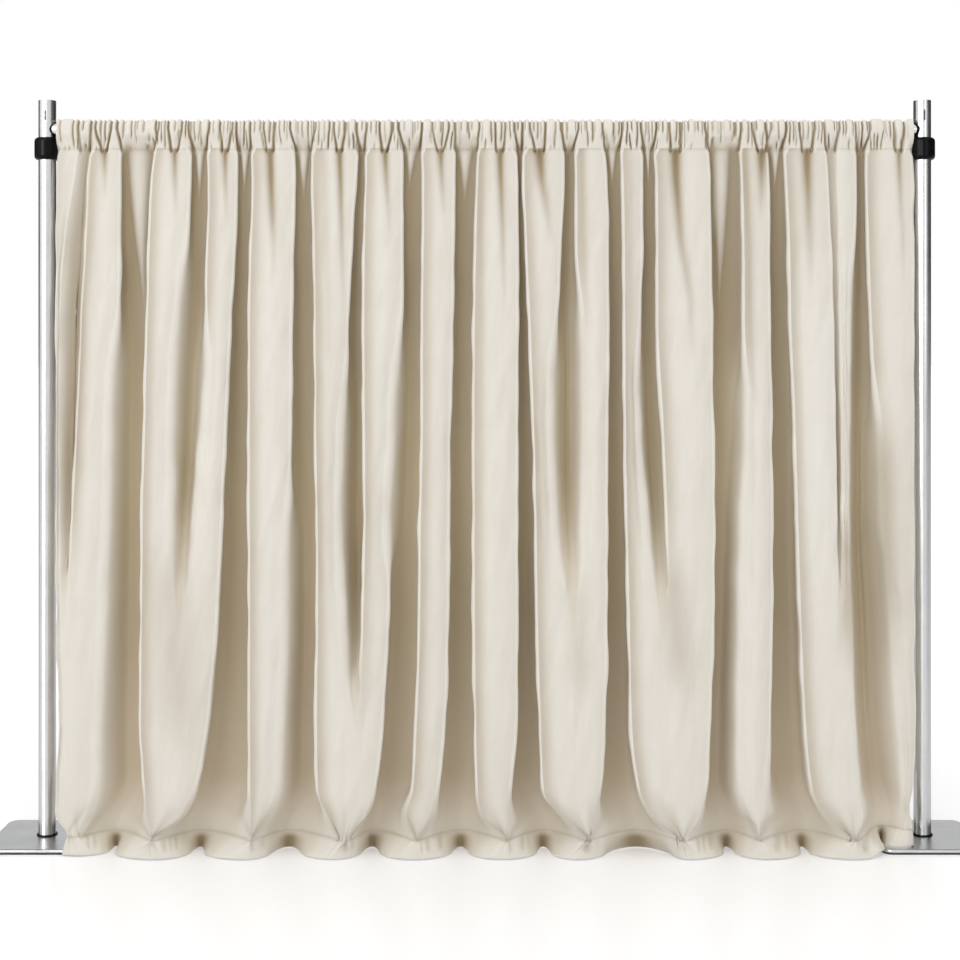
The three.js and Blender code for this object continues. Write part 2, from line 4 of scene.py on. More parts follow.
import bpy
import numpy as np
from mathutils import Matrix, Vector


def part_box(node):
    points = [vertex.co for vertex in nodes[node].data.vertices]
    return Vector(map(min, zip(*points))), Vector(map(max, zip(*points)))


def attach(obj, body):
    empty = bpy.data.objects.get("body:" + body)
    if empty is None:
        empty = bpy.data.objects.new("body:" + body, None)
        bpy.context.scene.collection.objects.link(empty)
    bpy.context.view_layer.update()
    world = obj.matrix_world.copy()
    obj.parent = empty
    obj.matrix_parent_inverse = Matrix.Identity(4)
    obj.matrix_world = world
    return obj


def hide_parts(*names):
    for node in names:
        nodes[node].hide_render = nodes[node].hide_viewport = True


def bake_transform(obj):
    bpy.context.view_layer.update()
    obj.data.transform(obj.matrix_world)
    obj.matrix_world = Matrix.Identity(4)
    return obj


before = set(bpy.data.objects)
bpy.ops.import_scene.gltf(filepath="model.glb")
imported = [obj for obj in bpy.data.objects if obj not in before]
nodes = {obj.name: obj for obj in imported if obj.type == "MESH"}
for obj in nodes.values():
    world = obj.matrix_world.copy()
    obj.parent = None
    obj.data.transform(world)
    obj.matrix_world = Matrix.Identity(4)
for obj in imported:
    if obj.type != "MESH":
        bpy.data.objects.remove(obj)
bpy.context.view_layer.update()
print("frame loaded,", len(nodes), "nodes")

# Places that the frame gives. The bar's axis is the reference for every depth of the drape.
barLow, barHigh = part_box("crossbar_outer_tube")
barY = (barLow.y + barHigh.y) / 2
barZ = (barLow.z + barHigh.z) / 2
barRadius = (barHigh.z - barLow.z) / 2
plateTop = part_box("base_plate_right")[1].z

# The photograph's view, in its 960 x 960 frame.
photo = {
    "size": 960,
    "middleColumn": 484.75,     # where the view's axis lies
    "horizonRow": 360.0,
    "focalLength": 1590.0,      # pixels
    "eyeHeight": 1.669,         # metres
    "eyeDistance": 5.540,       # in front of the uprights
    "sensorWidth": 36.0,        # millimetres
}


def addObject(name, data):
    made = bpy.data.objects.new(name, data)
    bpy.context.scene.collection.objects.link(made)
    return made


def makeCamera():
    data = bpy.data.cameras.new("camera")
    data.sensor_width = photo["sensorWidth"]
    data.lens = data.sensor_width * photo["focalLength"] / photo["size"]
    data.shift_x = (photo["size"] / 2 - photo["middleColumn"]) / photo["size"]
    data.shift_y = (photo["horizonRow"] - photo["size"] / 2) / photo["size"]
    camera = addObject("camera", data)
    camera.location = (0, barY - photo["eyeDistance"], photo["eyeHeight"])
    camera.rotation_euler = (math.pi / 2, 0, 0)
    bpy.context.scene.camera = camera


makeCamera()
print("camera placed")


# The drape. Depths count forwards from the bar's axis, in metres. A pair says where something starts and
# where it ends.
drape = {
    "seamHeight": 2.400,        # the stitching under the rod pocket
    "hemHeight": 0.062,
    "seamReach": 0.024,         # fold crests in front of the bar's axis, at the seam
    "floorReach": 0.243,        # and at the floor
    "reachPower": 1.6,
    "seamValley": 0.004,
    "floorValley": 0.108,
    "valleyPower": 4.0,
    "columnPitch": 0.0040,      # mesh spacing across the cloth
    "leastColumns": 12,         # on one fold's face
    "bodyPitch": 0.0168,        # mesh spacing down the cloth, where it hangs free
    "detailPitch": 0.0060,      # and near the hem and the pocket
    "bodyHeights": (0.36, 2.24),    # where it counts as hanging free
    "hemRows": 12,              # mesh rows up to the hem's stitching
    "rimRadius": 0.011,         # how tightly a fold's side turns back
    "undercut": 0.030,          # how far a fold overhangs its side wall
    "swell": 0.012,             # how far a fold's middle rounds out
    "topSwell": 0.45,           # the share of it at the top
    "swellHeights": (1.2, 2.3),
    "hemSwell": 0.006,
    "softRadius": 0.036,
    "softFade": (0.12, 0.16),   # how far a soft side takes to start and to end
    "closing": (0.05, 0.55),    # a short gap has closed this far below its end, and starts to this far above
    # the width of a rim's painted highlight
    "rimWidth": 0.0030,
    "leftRim": 0.34,            # how light the painted highlight on a fold's left and right rims is
    "rightRim": 0.26,
    "leftShade": 0.50,          # and how deep the painted shade beside them is
    "rightShade": 0.08,
    "endShade": 0.25,           # at the drape's left end
    "shadeStart": 0.004,        # where that painted shade starts and is deepest, from the rim
    "shadePeak": 0.012,
    "shadeWidth": 0.030,
    "shadeEnd": (0.45, 1.0),    # where it fades out, as shares of the face's width
    "rimGroove": 0.0012,
    "litSide": 0.22,            # how much lighter the painted shade on a valley's right side is
    "litFrom": 0.35,            # the share of its width after which it grows lighter
    "returnDepth": 0.002,       # how far back the drape turns at its two ends
    "returnRadius": 0.007,
    "returnLimit": (0.4, 0.35), # the most that it may be, as shares of the depth and of the face's width
    "returnTurns": 4,           # mesh columns round that turn
    # the painted shade on the turn at the drape's ends
    "returnHollow": 0.5,
    "hemLight": 0.55,           # how much lighter the painted shade on the cloth's slants is than in the valleys above
    "hemTuck": 0.075,           # how far the hem tucks back between two feet
    "caveShade": 1.25,          # the painted shade where the hem tucks back, over this many columns and below these heights
    "caveColumns": 3.8,
    "caveHeights": (0.030, 0.062),
    "hemLift": 0.0032,          # the hem's edge off the floor
    "hemRim": 0.7,              # how light the painted highlight on the hem's lower edge is
    "hemStitch": 0.0035,        # half the height of its stitching's groove and painted shade, and of its edge's painted highlight
    # the depth of the hem stitching's groove and its painted shade
    "stitchDepth": 0.0013,
    "stitchShade": 0.25,
    "pinchHeight": 0.26,        # below this the folds close in towards the hem's stitching
    "layerGap": 0.0018,         # between two layers of cloth
    "sideHem": 0.024,
    "edgeColumns": 3,           # by which a panel's right edge runs on behind the next panel
    "edgeStep": 0.0009,         # and how much deeper each of them lies
    "widthRows": (60, 160, 10),     # mesh rows, first, last and step, on which the cloth's width is measured
    "pocketClear": 0.0022,      # cloth off the bar in a crease
    "pocketSlope": 0.72,        # the share of the front wall's height over which it comes out to the bar
    "pocketFlap": 0.012,        # cloth below the pocket's back stitching
    "flapSlant": 0.0015,
    "pocketBack": 0.0045,       # the back wall behind the front one at the stitching
    "pocketRows": (12, 18, 10),     # mesh rows up the pocket's front, over the bar and down its back
    "plateGap": 0.0006,
    "plateClimb": (1.286, 1.326),   # where the hem climbs onto the right base plate
    "climbHeight": 0.25,        # and the cloth above takes it up
    "gatherStart": 2.372,
    "gatherLevel": 2.34,        # where the cloth's run is measured for the gathering
    "valleyAtHem": 0.104,
    "pinchPull": 0.013,         # how far the pinched folds draw back at the hem's stitching
    "footEndDepth": 0.115,      # where the feet of neighbouring folds meet
    "leftEndDepth": 0.185,      # the drape's left corner, in front of the base plate
    "footSide": 0.36,           # the share of a foot's turn on each of its sides
    "footRound": 0.85,
    "footHeights": (0.05, 1.1), # between which the feet's own reach comes in
    "flare": 0.75,              # how the hem spreads from its stitching to the floor
    "pinchReach": 0.5,
    "slantPower": (2.0, 1.7),   # how the pinched cloth slants, at the top of the pinch and at its bottom
    "drawnTone": (0.9, 0.5),    # how much of the painted shading goes there, in the gaps and everywhere
    # the wedges' depth and painted shade, and the painted shade of the creases near the hem
    "wedgeDepth": 0.0066,
    "wedgeShade": 0.95,
    "strokeShade": 0.30,
    "strokeFull": 0.003,        # a crease this deep takes all of that painted shade
    "unevenness": [(0.0030, 0.085), (0.0007, 0.034)],   # coarse and fine: height and size of the waves
    "unevenHeights": (0.0, 0.30, 2.25, 2.38),   # where it starts, is full, starts to end and has ended
    "flatWidths": [1.22, 1.52, 1.52, 1.22],     # the panels as they were cut
    "flatLength": 2.64,
    "seed": 11,
}

# Rows of the photograph at which the folds' sides were read.
rimRows = [149, 180, 240, 320, 420, 520, 620, 720, 790, 815, 838]

# The gaps between the front folds, left to right: the photograph's columns of both sides at those rows.
# One that ends higher up holds fewer entries, and its sides then run on inside the fold.
foldGaps = [
    [(80, 90), (76, 86.8), (67, 84.4), (61, 79), (59.8, 75), (60.5, 70), (62, 66)],
    [(121.5, 154), (121, 150), (121, 147), (119.8, 144.7), (115, 142.5), (113, 139.8), (109, 138.8),
     (105, 138), (103, 142), (98, 144), (85, 149)],
    [(192, 206), (191, 207), (188.7, 205.3), (182, 203), (177, 197), (176, 188), (177, 183)],
    [(238, 250), (238, 251), (236.5, 249), (232, 247), (227, 247), (223, 247), (218, 247), (209, 247),
     (196, 247), (184, 248), (156, 249)],
    [(295, 311), (295.8, 310.6), (294.5, 311.7), (293, 312.5), (292, 313), (291.5, 314.5), (291, 315),
     (287, 314), (284, 315), (277, 324), (256, 336)],
    [(359, 364.5), (357, 364), (353, 362), (349.5, 361.5), (347.5, 362), (344.5, 362.5), (349, 360.5),
     (354, 358)],
    [(403.5, 420.5), (403.7, 421.5), (404, 421), (403, 420), (398, 420), (393, 418), (389.5, 417), (384, 414),
     (376, 410), (369, 404), (353, 412)],
    [(456, 477), (455.5, 475.5), (455, 473.5), (454, 472), (452, 471.5), (450.5, 471.5), (449.5, 472),
     (446, 473), (439, 475), (434, 480), (421, 503)],
    [(517.5, 522), (518, 522), (519, 524), (519, 527.5), (518.8, 531), (518.2, 533.5), (518.5, 535),
     (518, 538), (512, 541), (510, 558), (510, 585)],
    [(565, 574), (565, 574.5), (562.5, 574.5), (558.6, 577.5), (557, 578.5), (561, 577), (571, 577)],
    [(605.5, 620), (608, 621), (609.5, 622), (610, 622.5), (609, 623), (608, 624.5), (608, 627), (606, 629),
     (602, 637), (597, 648), (592, 675)],
    [(643.4, 653), (643.8, 655.3), (643.8, 655.4), (641.6, 655.4), (643.4, 660.6), (652, 664.7),
     (659, 667.5)],
    [(709.5, 739), (711, 740.5), (711.7, 741.5), (713.6, 742), (714.8, 742), (716, 737), (715, 735),
     (711, 733), (708, 734), (704, 739), (690, 755)],
    [(768.7, 783), (770.2, 784.6), (771, 787), (771.2, 788.5), (773, 792.6), (773.8, 795.4), (773.9, 798.5),
     (772, 803), (773, 810), (775, 823), (764, 848)],
    [(826.5, 836), (829, 836), (832, 837.5), (834.5, 838), (836.8, 839.5), (838, 840.5), (838.5, 841)],
    [(857, 865), (857.3, 865), (856.3, 866.3), (853, 869), (851, 874), (851, 877), (854, 886), (857, 893),
     (863, 900), (868, 901), (860, 896)],
]
shallowGaps = {0: 0.55, 14: 0.40}   # the share of the full depth that these reach
leftRuns = {0: 0.78}                # the share of the gap over which its soft left side slopes down

# Lesser folds that stand in the gaps: gap, rows, the columns of both sides at those rows, height as a share
# of the gap's depth, and the row at which each has faded.
valleyFolds = [
    (1, (149, 180, 240, 300), (126, 127.5, 133, 140.5), (150, 148.5, 146, 145), 0.66, 350),
    (2, (149, 195), (194, 197.5), (204, 199.5), 0.55, 203),
    (3, (149, 185), (239.5, 242), (249, 245), 0.55, 196), (4, (149, 190), (297, 301), (309, 305), 0.55, 202),
    (6, (149, 180), (405.5, 408), (417, 411), 0.55, 190),
    (7, (149, 195), (457.5, 463.5), (473, 466.5), 0.6, 206),
    (10, (149, 178), (607.5, 611), (617.5, 614), 0.5, 188),
    (11, (149, 178), (645, 648), (651, 650), 0.4, 186),
    (12, (149, 200, 250, 295), (713, 714.5, 717, 719.5), (731, 729, 726, 722), 0.66, 325),
    (13, (149, 185), (771, 775), (781, 777), 0.55, 193),
]

# The drape's own side edges at the same rows.
sideColumns = [
    [57, 56, 55.3, 55.3, 55.3, 55, 55, 58, 54.6, 54.6, 67],
    [913, 914.5, 914.5, 914.5, 915, 915, 915, 916, 914, 910, 913],
]

# Sides that turn back softly instead of at a crisp rim: gap, side (0 is the gap's left), and the rows where
# the softness starts and ends.
softSides = [
    (0, 0, 100, 900), (1, 0, 330, 900), (2, 0, 250, 900), (2, 1, 330, 900), (4, 0, 500, 900),
    (5, 0, 380, 900), (6, 0, 340, 560), (9, 0, 330, 900), (9, 1, 290, 900), (11, 0, 340, 900),
    (12, 1, 370, 900), (13, 0, 760, 900), (14, 1, 100, 900), (15, 0, 250, 900), (15, 1, 400, 900),
]

# How far each fold's foot reaches, as a share of floorReach: one for each fold between open gaps.
footReachShares = [0.82, 1, 1, 0.99, 1, 0.99, 1, 1, 0.99, 1, 0.66]

# Where each foot's hem lies on the floor: left end, tip and right end, in the photograph's columns.
hemFeet = [
    (62, 80, 114), (115, 153, 196), (203, 245, 276), (300, 335, 365), (378, 413, 455), (466, 503, 539),
    (548, 579, 608), (666, 688, 724), (730, 768, 801), (803, 856, 884), (882, 902, 913),
]


def mix(a, b, t):
    return a + (b - a) * t


def smooth(low, high, value):
    t = np.clip((value - low) / (high - low), 0, 1)
    return t * t * (3 - 2 * t)


def fade(low, high, value):
    return 1 - smooth(low, high, value)


# 0 at both ends of a run from 0 to 1, and 1 in its middle.
def arch(t):
    return 4 * t * (1 - t)


def bell(away):
    return np.exp(-away * away)


def reachAt(z):
    down = np.clip(1 - z / drape["seamHeight"], 0, 1) ** drape["reachPower"]
    return mix(drape["seamReach"], drape["floorReach"], down)


def valleyAt(z):
    down = np.clip(1 - z / drape["seamHeight"], 0, 1) ** drape["valleyPower"]
    return mix(drape["seamValley"], drape["floorValley"], down)


# Height of a photograph's row on cloth that reaches forwards as the fold crests do. A few rounds settle it.
def heightOfRow(row):
    z = 1.0
    for _ in range(12):
        away = photo["eyeDistance"] - reachAt(z)
        z = photo["eyeHeight"] - (row - photo["horizonRow"]) * away / photo["focalLength"]
    return z


def placeOfColumn(column, reach):
    return (column - photo["middleColumn"]) * (photo["eyeDistance"] - reach) / photo["focalLength"]


def photoColumn(across, depth):
    return photo["middleColumn"] + across * photo["focalLength"] / (photo["eyeDistance"] - depth)


def photoRow(depth, z):
    away = photo["eyeDistance"] - depth
    return photo["horizonRow"] + (photo["eyeHeight"] - z) * photo["focalLength"] / away


# A smooth curve through given values: piecewise cubic with slopes that never overshoot.
def gentleCurve(xs, ys):
    xs, ys = np.array(xs, float), np.array(ys, float)
    step = np.diff(xs)
    slope = np.diff(ys) / step
    tangent = np.zeros(len(xs))
    tangent[0], tangent[-1] = slope[0], slope[-1]
    for i in range(1, len(xs) - 1):
        if slope[i - 1] * slope[i] > 0:
            a, b = 2 * step[i] + step[i - 1], step[i] + 2 * step[i - 1]
            tangent[i] = (a + b) / (a / slope[i - 1] + b / slope[i])

    def value(x):
        x = np.clip(x, xs[0], xs[-1])
        i = np.clip(np.searchsorted(xs, x) - 1, 0, len(xs) - 2)
        t = (x - xs[i]) / step[i]
        return (ys[i] * (1 + 2 * t) * (1 - t) ** 2 + ys[i + 1] * t * t * (3 - 2 * t)
                + step[i] * (tangent[i] * t * (1 - t) ** 2 - tangent[i + 1] * t * t * (1 - t)))

    return value


rimHeights = [heightOfRow(row) for row in rimRows]
print("rows read at heights", [round(z, 3) for z in rimHeights])


# The sides of every gap as functions of height. A gap that has closed keeps its share of the fold round it.
def makeRims():
    rising = rimHeights[::-1]
    sides = [gentleCurve(rising, columns[::-1]) for columns in sideColumns]
    openGaps = [i for i, gap in enumerate(foldGaps) if len(gap) == len(rimRows)]
    curves = {}
    for i, gap in enumerate(foldGaps):
        heights = rimHeights[: len(gap)][::-1]
        curves[i] = [gentleCurve(heights, [pair[side] for pair in gap][::-1]) for side in (0, 1)]

    def columnsAt(z):
        left, right = sides[0](z), sides[1](z)
        pairs = [None] * len(foldGaps)
        for i in openGaps:
            pairs[i] = [float(curves[i][0](z)), float(curves[i][1](z))]
        for i in range(len(foldGaps)):
            if pairs[i] is not None:
                continue
            end = rimHeights[len(foldGaps[i]) - 1]
            before, after = ([None] + [k for k in openGaps if k < i])[-1], [k for k in openGaps if k > i][0]
            level = max(z, end)
            low = sides[0](level) if before is None else curves[before][1](level)
            high = curves[after][0](level)
            shares = [(curves[i][side](level) - low) / (high - low) for side in (0, 1)]
            lowHere, highHere = left if before is None else pairs[before][1], pairs[after][0]
            pairs[i] = [float(mix(lowHere, highHere, share)) for share in shares]
        return float(left), float(right), pairs

    return columnsAt, openGaps


columnsAt, openGaps = makeRims()


# Where the faces of the folds start and end at a height, left to right.
def marksAt(z):
    left, right, pairs = columnsAt(z)
    columns = [left] + [value for pair in pairs for value in pair] + [right]
    return [placeOfColumn(column, reachAt(z)) for column in columns]


# Seeded values, so that each run gives the same cloth.
seeded = np.random.default_rng(drape["seed"])

# How many mesh columns the parts of the drape take.
rollColumns, wallColumns, valleyColumns, returnColumns = 5, 6, 15, 11
gapColumns = 2 * (rollColumns + wallColumns) + valleyColumns


# Every fold takes the columns that its face needs where it is widest.
def countFaceColumns():
    rows = [marksAt(z) for z in np.linspace(0.3, 2.3, 21)]
    widest = [max(row[k + 1] - row[k] for row in rows) for k in range(0, len(rows[0]), 2)]
    counts = [max(drape["leastColumns"], int(width / drape["columnPitch"])) for width in widest]
    counts[0] += returnColumns
    counts[-1] += returnColumns
    return counts


faceColumns = countFaceColumns()
faceStarts = [sum(faceColumns[:fold]) + fold * gapColumns for fold in range(len(faceColumns))]
columnCount = sum(faceColumns) + len(foldGaps) * gapColumns
valleyCentres = [start + count + gapColumns // 2 for start, count in zip(faceStarts, faceColumns)][:-1]
print(columnCount, "columns across the drape")


def gapPart(gap):
    start = faceStarts[gap] + faceColumns[gap]
    return slice(start, start + gapColumns)


def softnessOf(gap, side, z):
    most = 0.0
    rise, fall = drape["softFade"]
    for index, at, firstRow, lastRow in softSides:
        if (index, at) == (gap, side):
            high, low = heightOfRow(firstRow), heightOfRow(lastRow)
            here = smooth(low - rise, low + rise, z) * fade(high - fall, high + fall, z)
            most = max(most, float(here))
    return most


# The form of a gap's sides. A limit holds the most that a size may be, as shares of the gap's depth and of
# the face's width.
gapShape = {
    "crispLimit": (0.45, 0.30),
    "softLimit": (0.75, 0.42),
    "tuckLimit": (0.42, 0.32),
    "crispRun": 0.16,           # the share of the gap's width that a side slopes over
    "softRun": 0.40,
    "softTurn": 0.85,           # how far a soft rim turns, in radians
    "wallStart": 0.55,          # how steeply a side wall leaves the rim
    "valleyDip": 0.3,           # how far a valley's middle lies back, as a share of the depth
    "leastRoll": 0.0004,
    "leastWall": 0.0002,
    "leastDepth": 0.0003,
    "lesserFade": 0.15,         # the share of its rows after which a lesser fold starts to fade
    "lesserRound": 0.9,
    # how much of the valley's painted shade a lesser fold's crest loses
    "lesserLight": 0.80,
    "rimFrom": (0.2, 0.7),      # how open a gap is where the painted highlights on its rims start to show and show in full
    "closedBelow": 0.35,        # how open a gap is when its columns start to spread evenly
    # how the valleys' painted shade grows as a gap opens
    "hollowPower": 0.6,
}


# The side of a gap from its fold's face to the valley's floor: steps sideways and backwards from the rim.
def gapSide(depth, width, face, soft, softRun=gapShape["softRun"]):
    def limited(size, limit):
        return min(size, gapShape[limit][0] * depth, gapShape[limit][1] * face)

    crisp, softer = limited(drape["rimRadius"], "crispLimit"), limited(drape["softRadius"], "softLimit")
    roll = max(gapShape["leastRoll"], mix(crisp, softer, soft))
    tuck = limited(drape["undercut"], "tuckLimit") * (1 - soft)
    run = mix(gapShape["crispRun"], softRun, soft) * width
    angles = np.linspace(0, mix(math.pi / 2, gapShape["softTurn"], soft), rollColumns + 1)[1:]
    across = list(-roll + roll * np.sin(angles))
    back = list(roll - roll * np.cos(angles))
    rollAcross, rollBack = across[-1], back[-1]
    t = np.linspace(0, 1, wallColumns + 1)[1:]
    deep = max(depth - rollBack, gapShape["leastWall"])
    across += list(rollAcross * (1 - t) - 3 * tuck * t * t * (1 - t) + run * mix(t ** 3, t, soft))
    steep = 3 * gapShape["wallStart"] * t * (1 - t) ** 2 + 3 * t * t * (1 - t) + t ** 3
    back += list(rollBack + deep * mix(steep, np.sin(math.pi / 2 * t), soft))
    return np.array(across), np.array(back), roll, run


# Where the drape ends it turns back towards the upright: steps inwards from its edge, and depths, back to
# front.
def sideReturn(reach, radius):
    turns = drape["returnTurns"]
    angles = np.linspace(0, math.pi / 2, turns + 1)[1:]
    back = np.linspace(drape["returnDepth"], reach - radius, returnColumns - turns)
    across = np.concatenate([np.full(len(back), 0.0), radius - radius * np.cos(angles)])
    return across, np.concatenate([back, reach - radius + radius * np.sin(angles)])


# 0 at both ends of a stretch of cloth and 1 in its middle; it starts level where its end is soft.
def bulge(x, low, high, softLow, softHigh):
    t = np.clip((x - low) / max(high - low, 1e-6), 0, 1)
    return arch(t) ** (1 + mix(softLow, softHigh, t))


# Moves places across so that they keep their columns of the photograph at new depths.
def keepColumns(across, before, after):
    return across * (photo["eyeDistance"] - after) / (photo["eyeDistance"] - before)


# Adds the lesser folds that stand in a gap, and lightens the valley's painted shade on their crests.
def raiseValleyFolds(gap, z, reach, deep, across, depth, hollow):
    row = photoRow(reach, z)
    for index, rows, lefts, rights, share, endRow in valleyFolds:
        if index != gap:
            continue
        low, high = (placeOfColumn(np.interp(row, rows, sides), reach) for sides in (lefts, rights))
        away = (across - (low + high) / 2) / ((high - low) / 2)
        fading = float(smooth(mix(rows[0], endRow, gapShape["lesserFade"]), endRow, row))
        crest = np.clip(1 - away * away, 0, 1) ** gapShape["lesserRound"] * (1 - fading)
        depth[:] = np.maximum(depth, reach - deep * (1 - share * crest))
        hollow *= 1 - gapShape["lesserLight"] * crest


def openingOf(gap, z):
    end, (below, above) = rimHeights[len(foldGaps[gap]) - 1], drape["closing"]
    return 1.0 if gap in openGaps else float(smooth(end - below, end + above, z))


# The painted highlight on the rim and the painted shade beside it, near one side of a fold's face.
def rimAndShade(away, width, crisp, rimHighlight, shade):
    peak = drape["shadePeak"]
    rim = bell(away / drape["rimWidth"])
    band = smooth(drape["shadeStart"], peak, away) * bell((away - peak) / drape["shadeWidth"])
    band = band * fade(*drape["shadeEnd"], away / width)
    return crisp * (rimHighlight * rim - shade * band), crisp * drape["rimGroove"] * band


# One row of the drape between the hem's and the pocket's stitching: places across, depths, how hollow each
# column lies, which sets the valleys' painted shade, and its painted shading, which is above 0 for a painted
# highlight on a crisp rim and below 0 for the painted shade beside it.
def foldRow(z):
    marks = marksAt(z)
    reach, valley = float(reachAt(z)), float(valleyAt(z))
    opening = [openingOf(i, z) for i in range(len(foldGaps))]
    across, depth, hollow, paintedShading = (np.zeros(columnCount) for _ in range(4))
    swell = drape["swell"] * float(mix(1.0, drape["topSwell"], smooth(*drape["swellHeights"], z)))
    s = np.arange(1, valleyColumns + 1) / (valleyColumns + 1)
    litSide = 1 - drape["litSide"] * smooth(drape["litFrom"], 1.0, np.linspace(0, 1, gapColumns))
    rolls = {}
    for i in range(len(foldGaps)):
        before, a, b, after = marks[2 * i:2 * i + 4]
        opened = opening[i] * shallowGaps.get(i, 1)
        deep = max((reach - valley) * opened, gapShape["leastDepth"])
        softs = [softnessOf(i, side, z) for side in (0, 1)]
        leftRun = leftRuns.get(i, gapShape["softRun"])
        leftAcross, leftBack, leftRoll, runLeft = gapSide(deep, b - a, a - before, softs[0], leftRun)
        rightAcross, rightBack, rightRoll, runRight = gapSide(deep, b - a, after - b, softs[1])
        gapAcross = np.concatenate([a + leftAcross, mix(a + runLeft, b - runRight, s), b - rightAcross[::-1]])
        floor = deep * (1 + gapShape["valleyDip"] * s * (1 - s))
        gapDepth = reach - np.concatenate([leftBack, floor, rightBack[::-1]])
        # A gap that has closed spreads its columns evenly, so that it leaves no crease.
        even = np.linspace(a - leftRoll, b + rightRoll, gapColumns + 2)[1:-1]
        closed = 1 - float(smooth(0, gapShape["closedBelow"], opening[i]))
        part = gapPart(i)
        gapHollow = np.clip((reach - gapDepth) / deep, 0, 1)
        raiseValleyFolds(i, z, reach, deep, gapAcross, gapDepth, gapHollow)
        across[part] = mix(gapAcross, even, closed)
        depth[part] = mix(gapDepth, reach, closed)
        hollow[part] = opened ** gapShape["hollowPower"] * gapHollow * litSide
        crisp = np.zeros(gapColumns)
        crisp[:rollColumns - 1] = drape["rightRim"] * (1 - softs[0])
        crisp[1 - rollColumns:] = drape["leftRim"] * (1 - softs[1])
        paintedShading[part] = crisp * smooth(*gapShape["rimFrom"], opening[i])
        rolls[i] = {"roll": (leftRoll, rightRoll), "soft": softs,
                    "crisp": [(1 - soft) * opening[i] for soft in softs]}

    # The bulge of a whole fold between open gaps, with the closed ones inside it.
    def wholeBulge(x, first):
        before, after = [i for i in openGaps if i < first], [i for i in openGaps if i >= first]
        low, softLow, high, softHigh = marks[0], 0, marks[-1], 0
        if before:
            last = before[-1]
            low, softLow = marks[2 * last + 2] + rolls[last]["roll"][1], rolls[last]["soft"][1]
        if after:
            high, softHigh = marks[2 * after[0] + 1] - rolls[after[0]]["roll"][0], rolls[after[0]]["soft"][0]
        return bulge(x, low, high, softLow, softHigh)

    plain = {"roll": (0, 0), "soft": (0, 0), "crisp": (1, 1)}
    for fold in range(len(faceColumns)):
        a, b = marks[2 * fold], marks[2 * fold + 1]
        isFirst, isLast = fold == 0, fold == len(foldGaps)
        sideA, sideB = rolls.get(fold - 1, plain), rolls.get(fold, plain)
        ofReach, ofFace = drape["returnLimit"]
        edge = min(drape["returnRadius"], ofReach * reach, ofFace * (b - a))
        returned, returnedDepth = sideReturn(reach, edge)
        count = faceColumns[fold] - returnColumns * (isFirst or isLast)
        low, high = a + (edge if isFirst else sideA["roll"][1]), b - (edge if isLast else sideB["roll"][0])
        x = np.linspace(low, high, count)
        own = bulge(x, x[0], x[-1], sideA["soft"][1], sideB["soft"][0])
        touching = [opening[i] for i in (fold - 1, fold) if 0 <= i < len(foldGaps) and i not in openGaps]
        faceDepth = reach + swell * mix(wholeBulge(x, fold), own, max(touching) if touching else 1.0)
        facePaintedShading = np.zeros(count)
        leftShade = drape["endShade" if isFirst else "leftShade"]
        for side in ((x - a, b - a, sideA["crisp"][1], drape["leftRim"], leftShade),
                     (b - x, b - a, sideB["crisp"][0], drape["rightRim"], drape["rightShade"])):
            light, groove = rimAndShade(*side)
            facePaintedShading += light
            faceDepth -= groove
        face = np.array([x, faceDepth, facePaintedShading, np.zeros(count)])
        if isFirst or isLast:
            extra = drape["returnHollow"] * np.linspace(1, 0, returnColumns) ** 2
            end = np.array([a + returned if isFirst else b - returned, returnedDepth, 0 * extra, extra])
            face = np.hstack([end, face] if isFirst else [face, end[:, ::-1]])
        part = slice(faceStarts[fold], faceStarts[fold] + faceColumns[fold])
        across[part], depth[part], paintedShading[part], hollow[part] = face
    for i in range(len(foldGaps)):
        if i not in openGaps:
            depth[gapPart(i)] += swell * wholeBulge(across[gapPart(i)], i) * (1 - opening[i])
    return across, depth, hollow, paintedShading


# Each foot runs from the middle of one open gap to the middle of the next: its first and last column, and the
# first and last of those on the fold's face.
def footSpans():
    edges = [0] + [valleyCentres[i] for i in openGaps] + [columnCount - 1]
    inset = gapColumns // 2 + 1
    spans = []
    for k, (first, last) in enumerate(zip(edges, edges[1:])):
        spans.append((first, last, first + (inset if k else 0), last - (inset if k < len(edges) - 2 else 0)))
    return spans


# Which foot a column belongs to and how far round the foot it lies, from 0 at its left end to 1 at its right.
def makeFeet():
    foot, turn = np.zeros(columnCount, int), np.zeros(columnCount)
    side, spans = drape["footSide"], footSpans()
    for k, (first, last, faceFirst, faceLast) in enumerate(spans):
        for column in range(first, last + 1):
            foot[column] = k
            if column < faceFirst:
                turn[column] = side * (column - first) / (faceFirst - first)
            elif column > faceLast:
                turn[column] = 1 - side * (last - column) / (last - faceLast)
            else:
                low, high = (0 if k == 0 else side), (1 if k == len(spans) - 1 else 1 - side)
                turn[column] = mix(low, high, (column - faceFirst) / (faceLast - faceFirst))
    return foot, turn


footOf, turnOf = makeFeet()


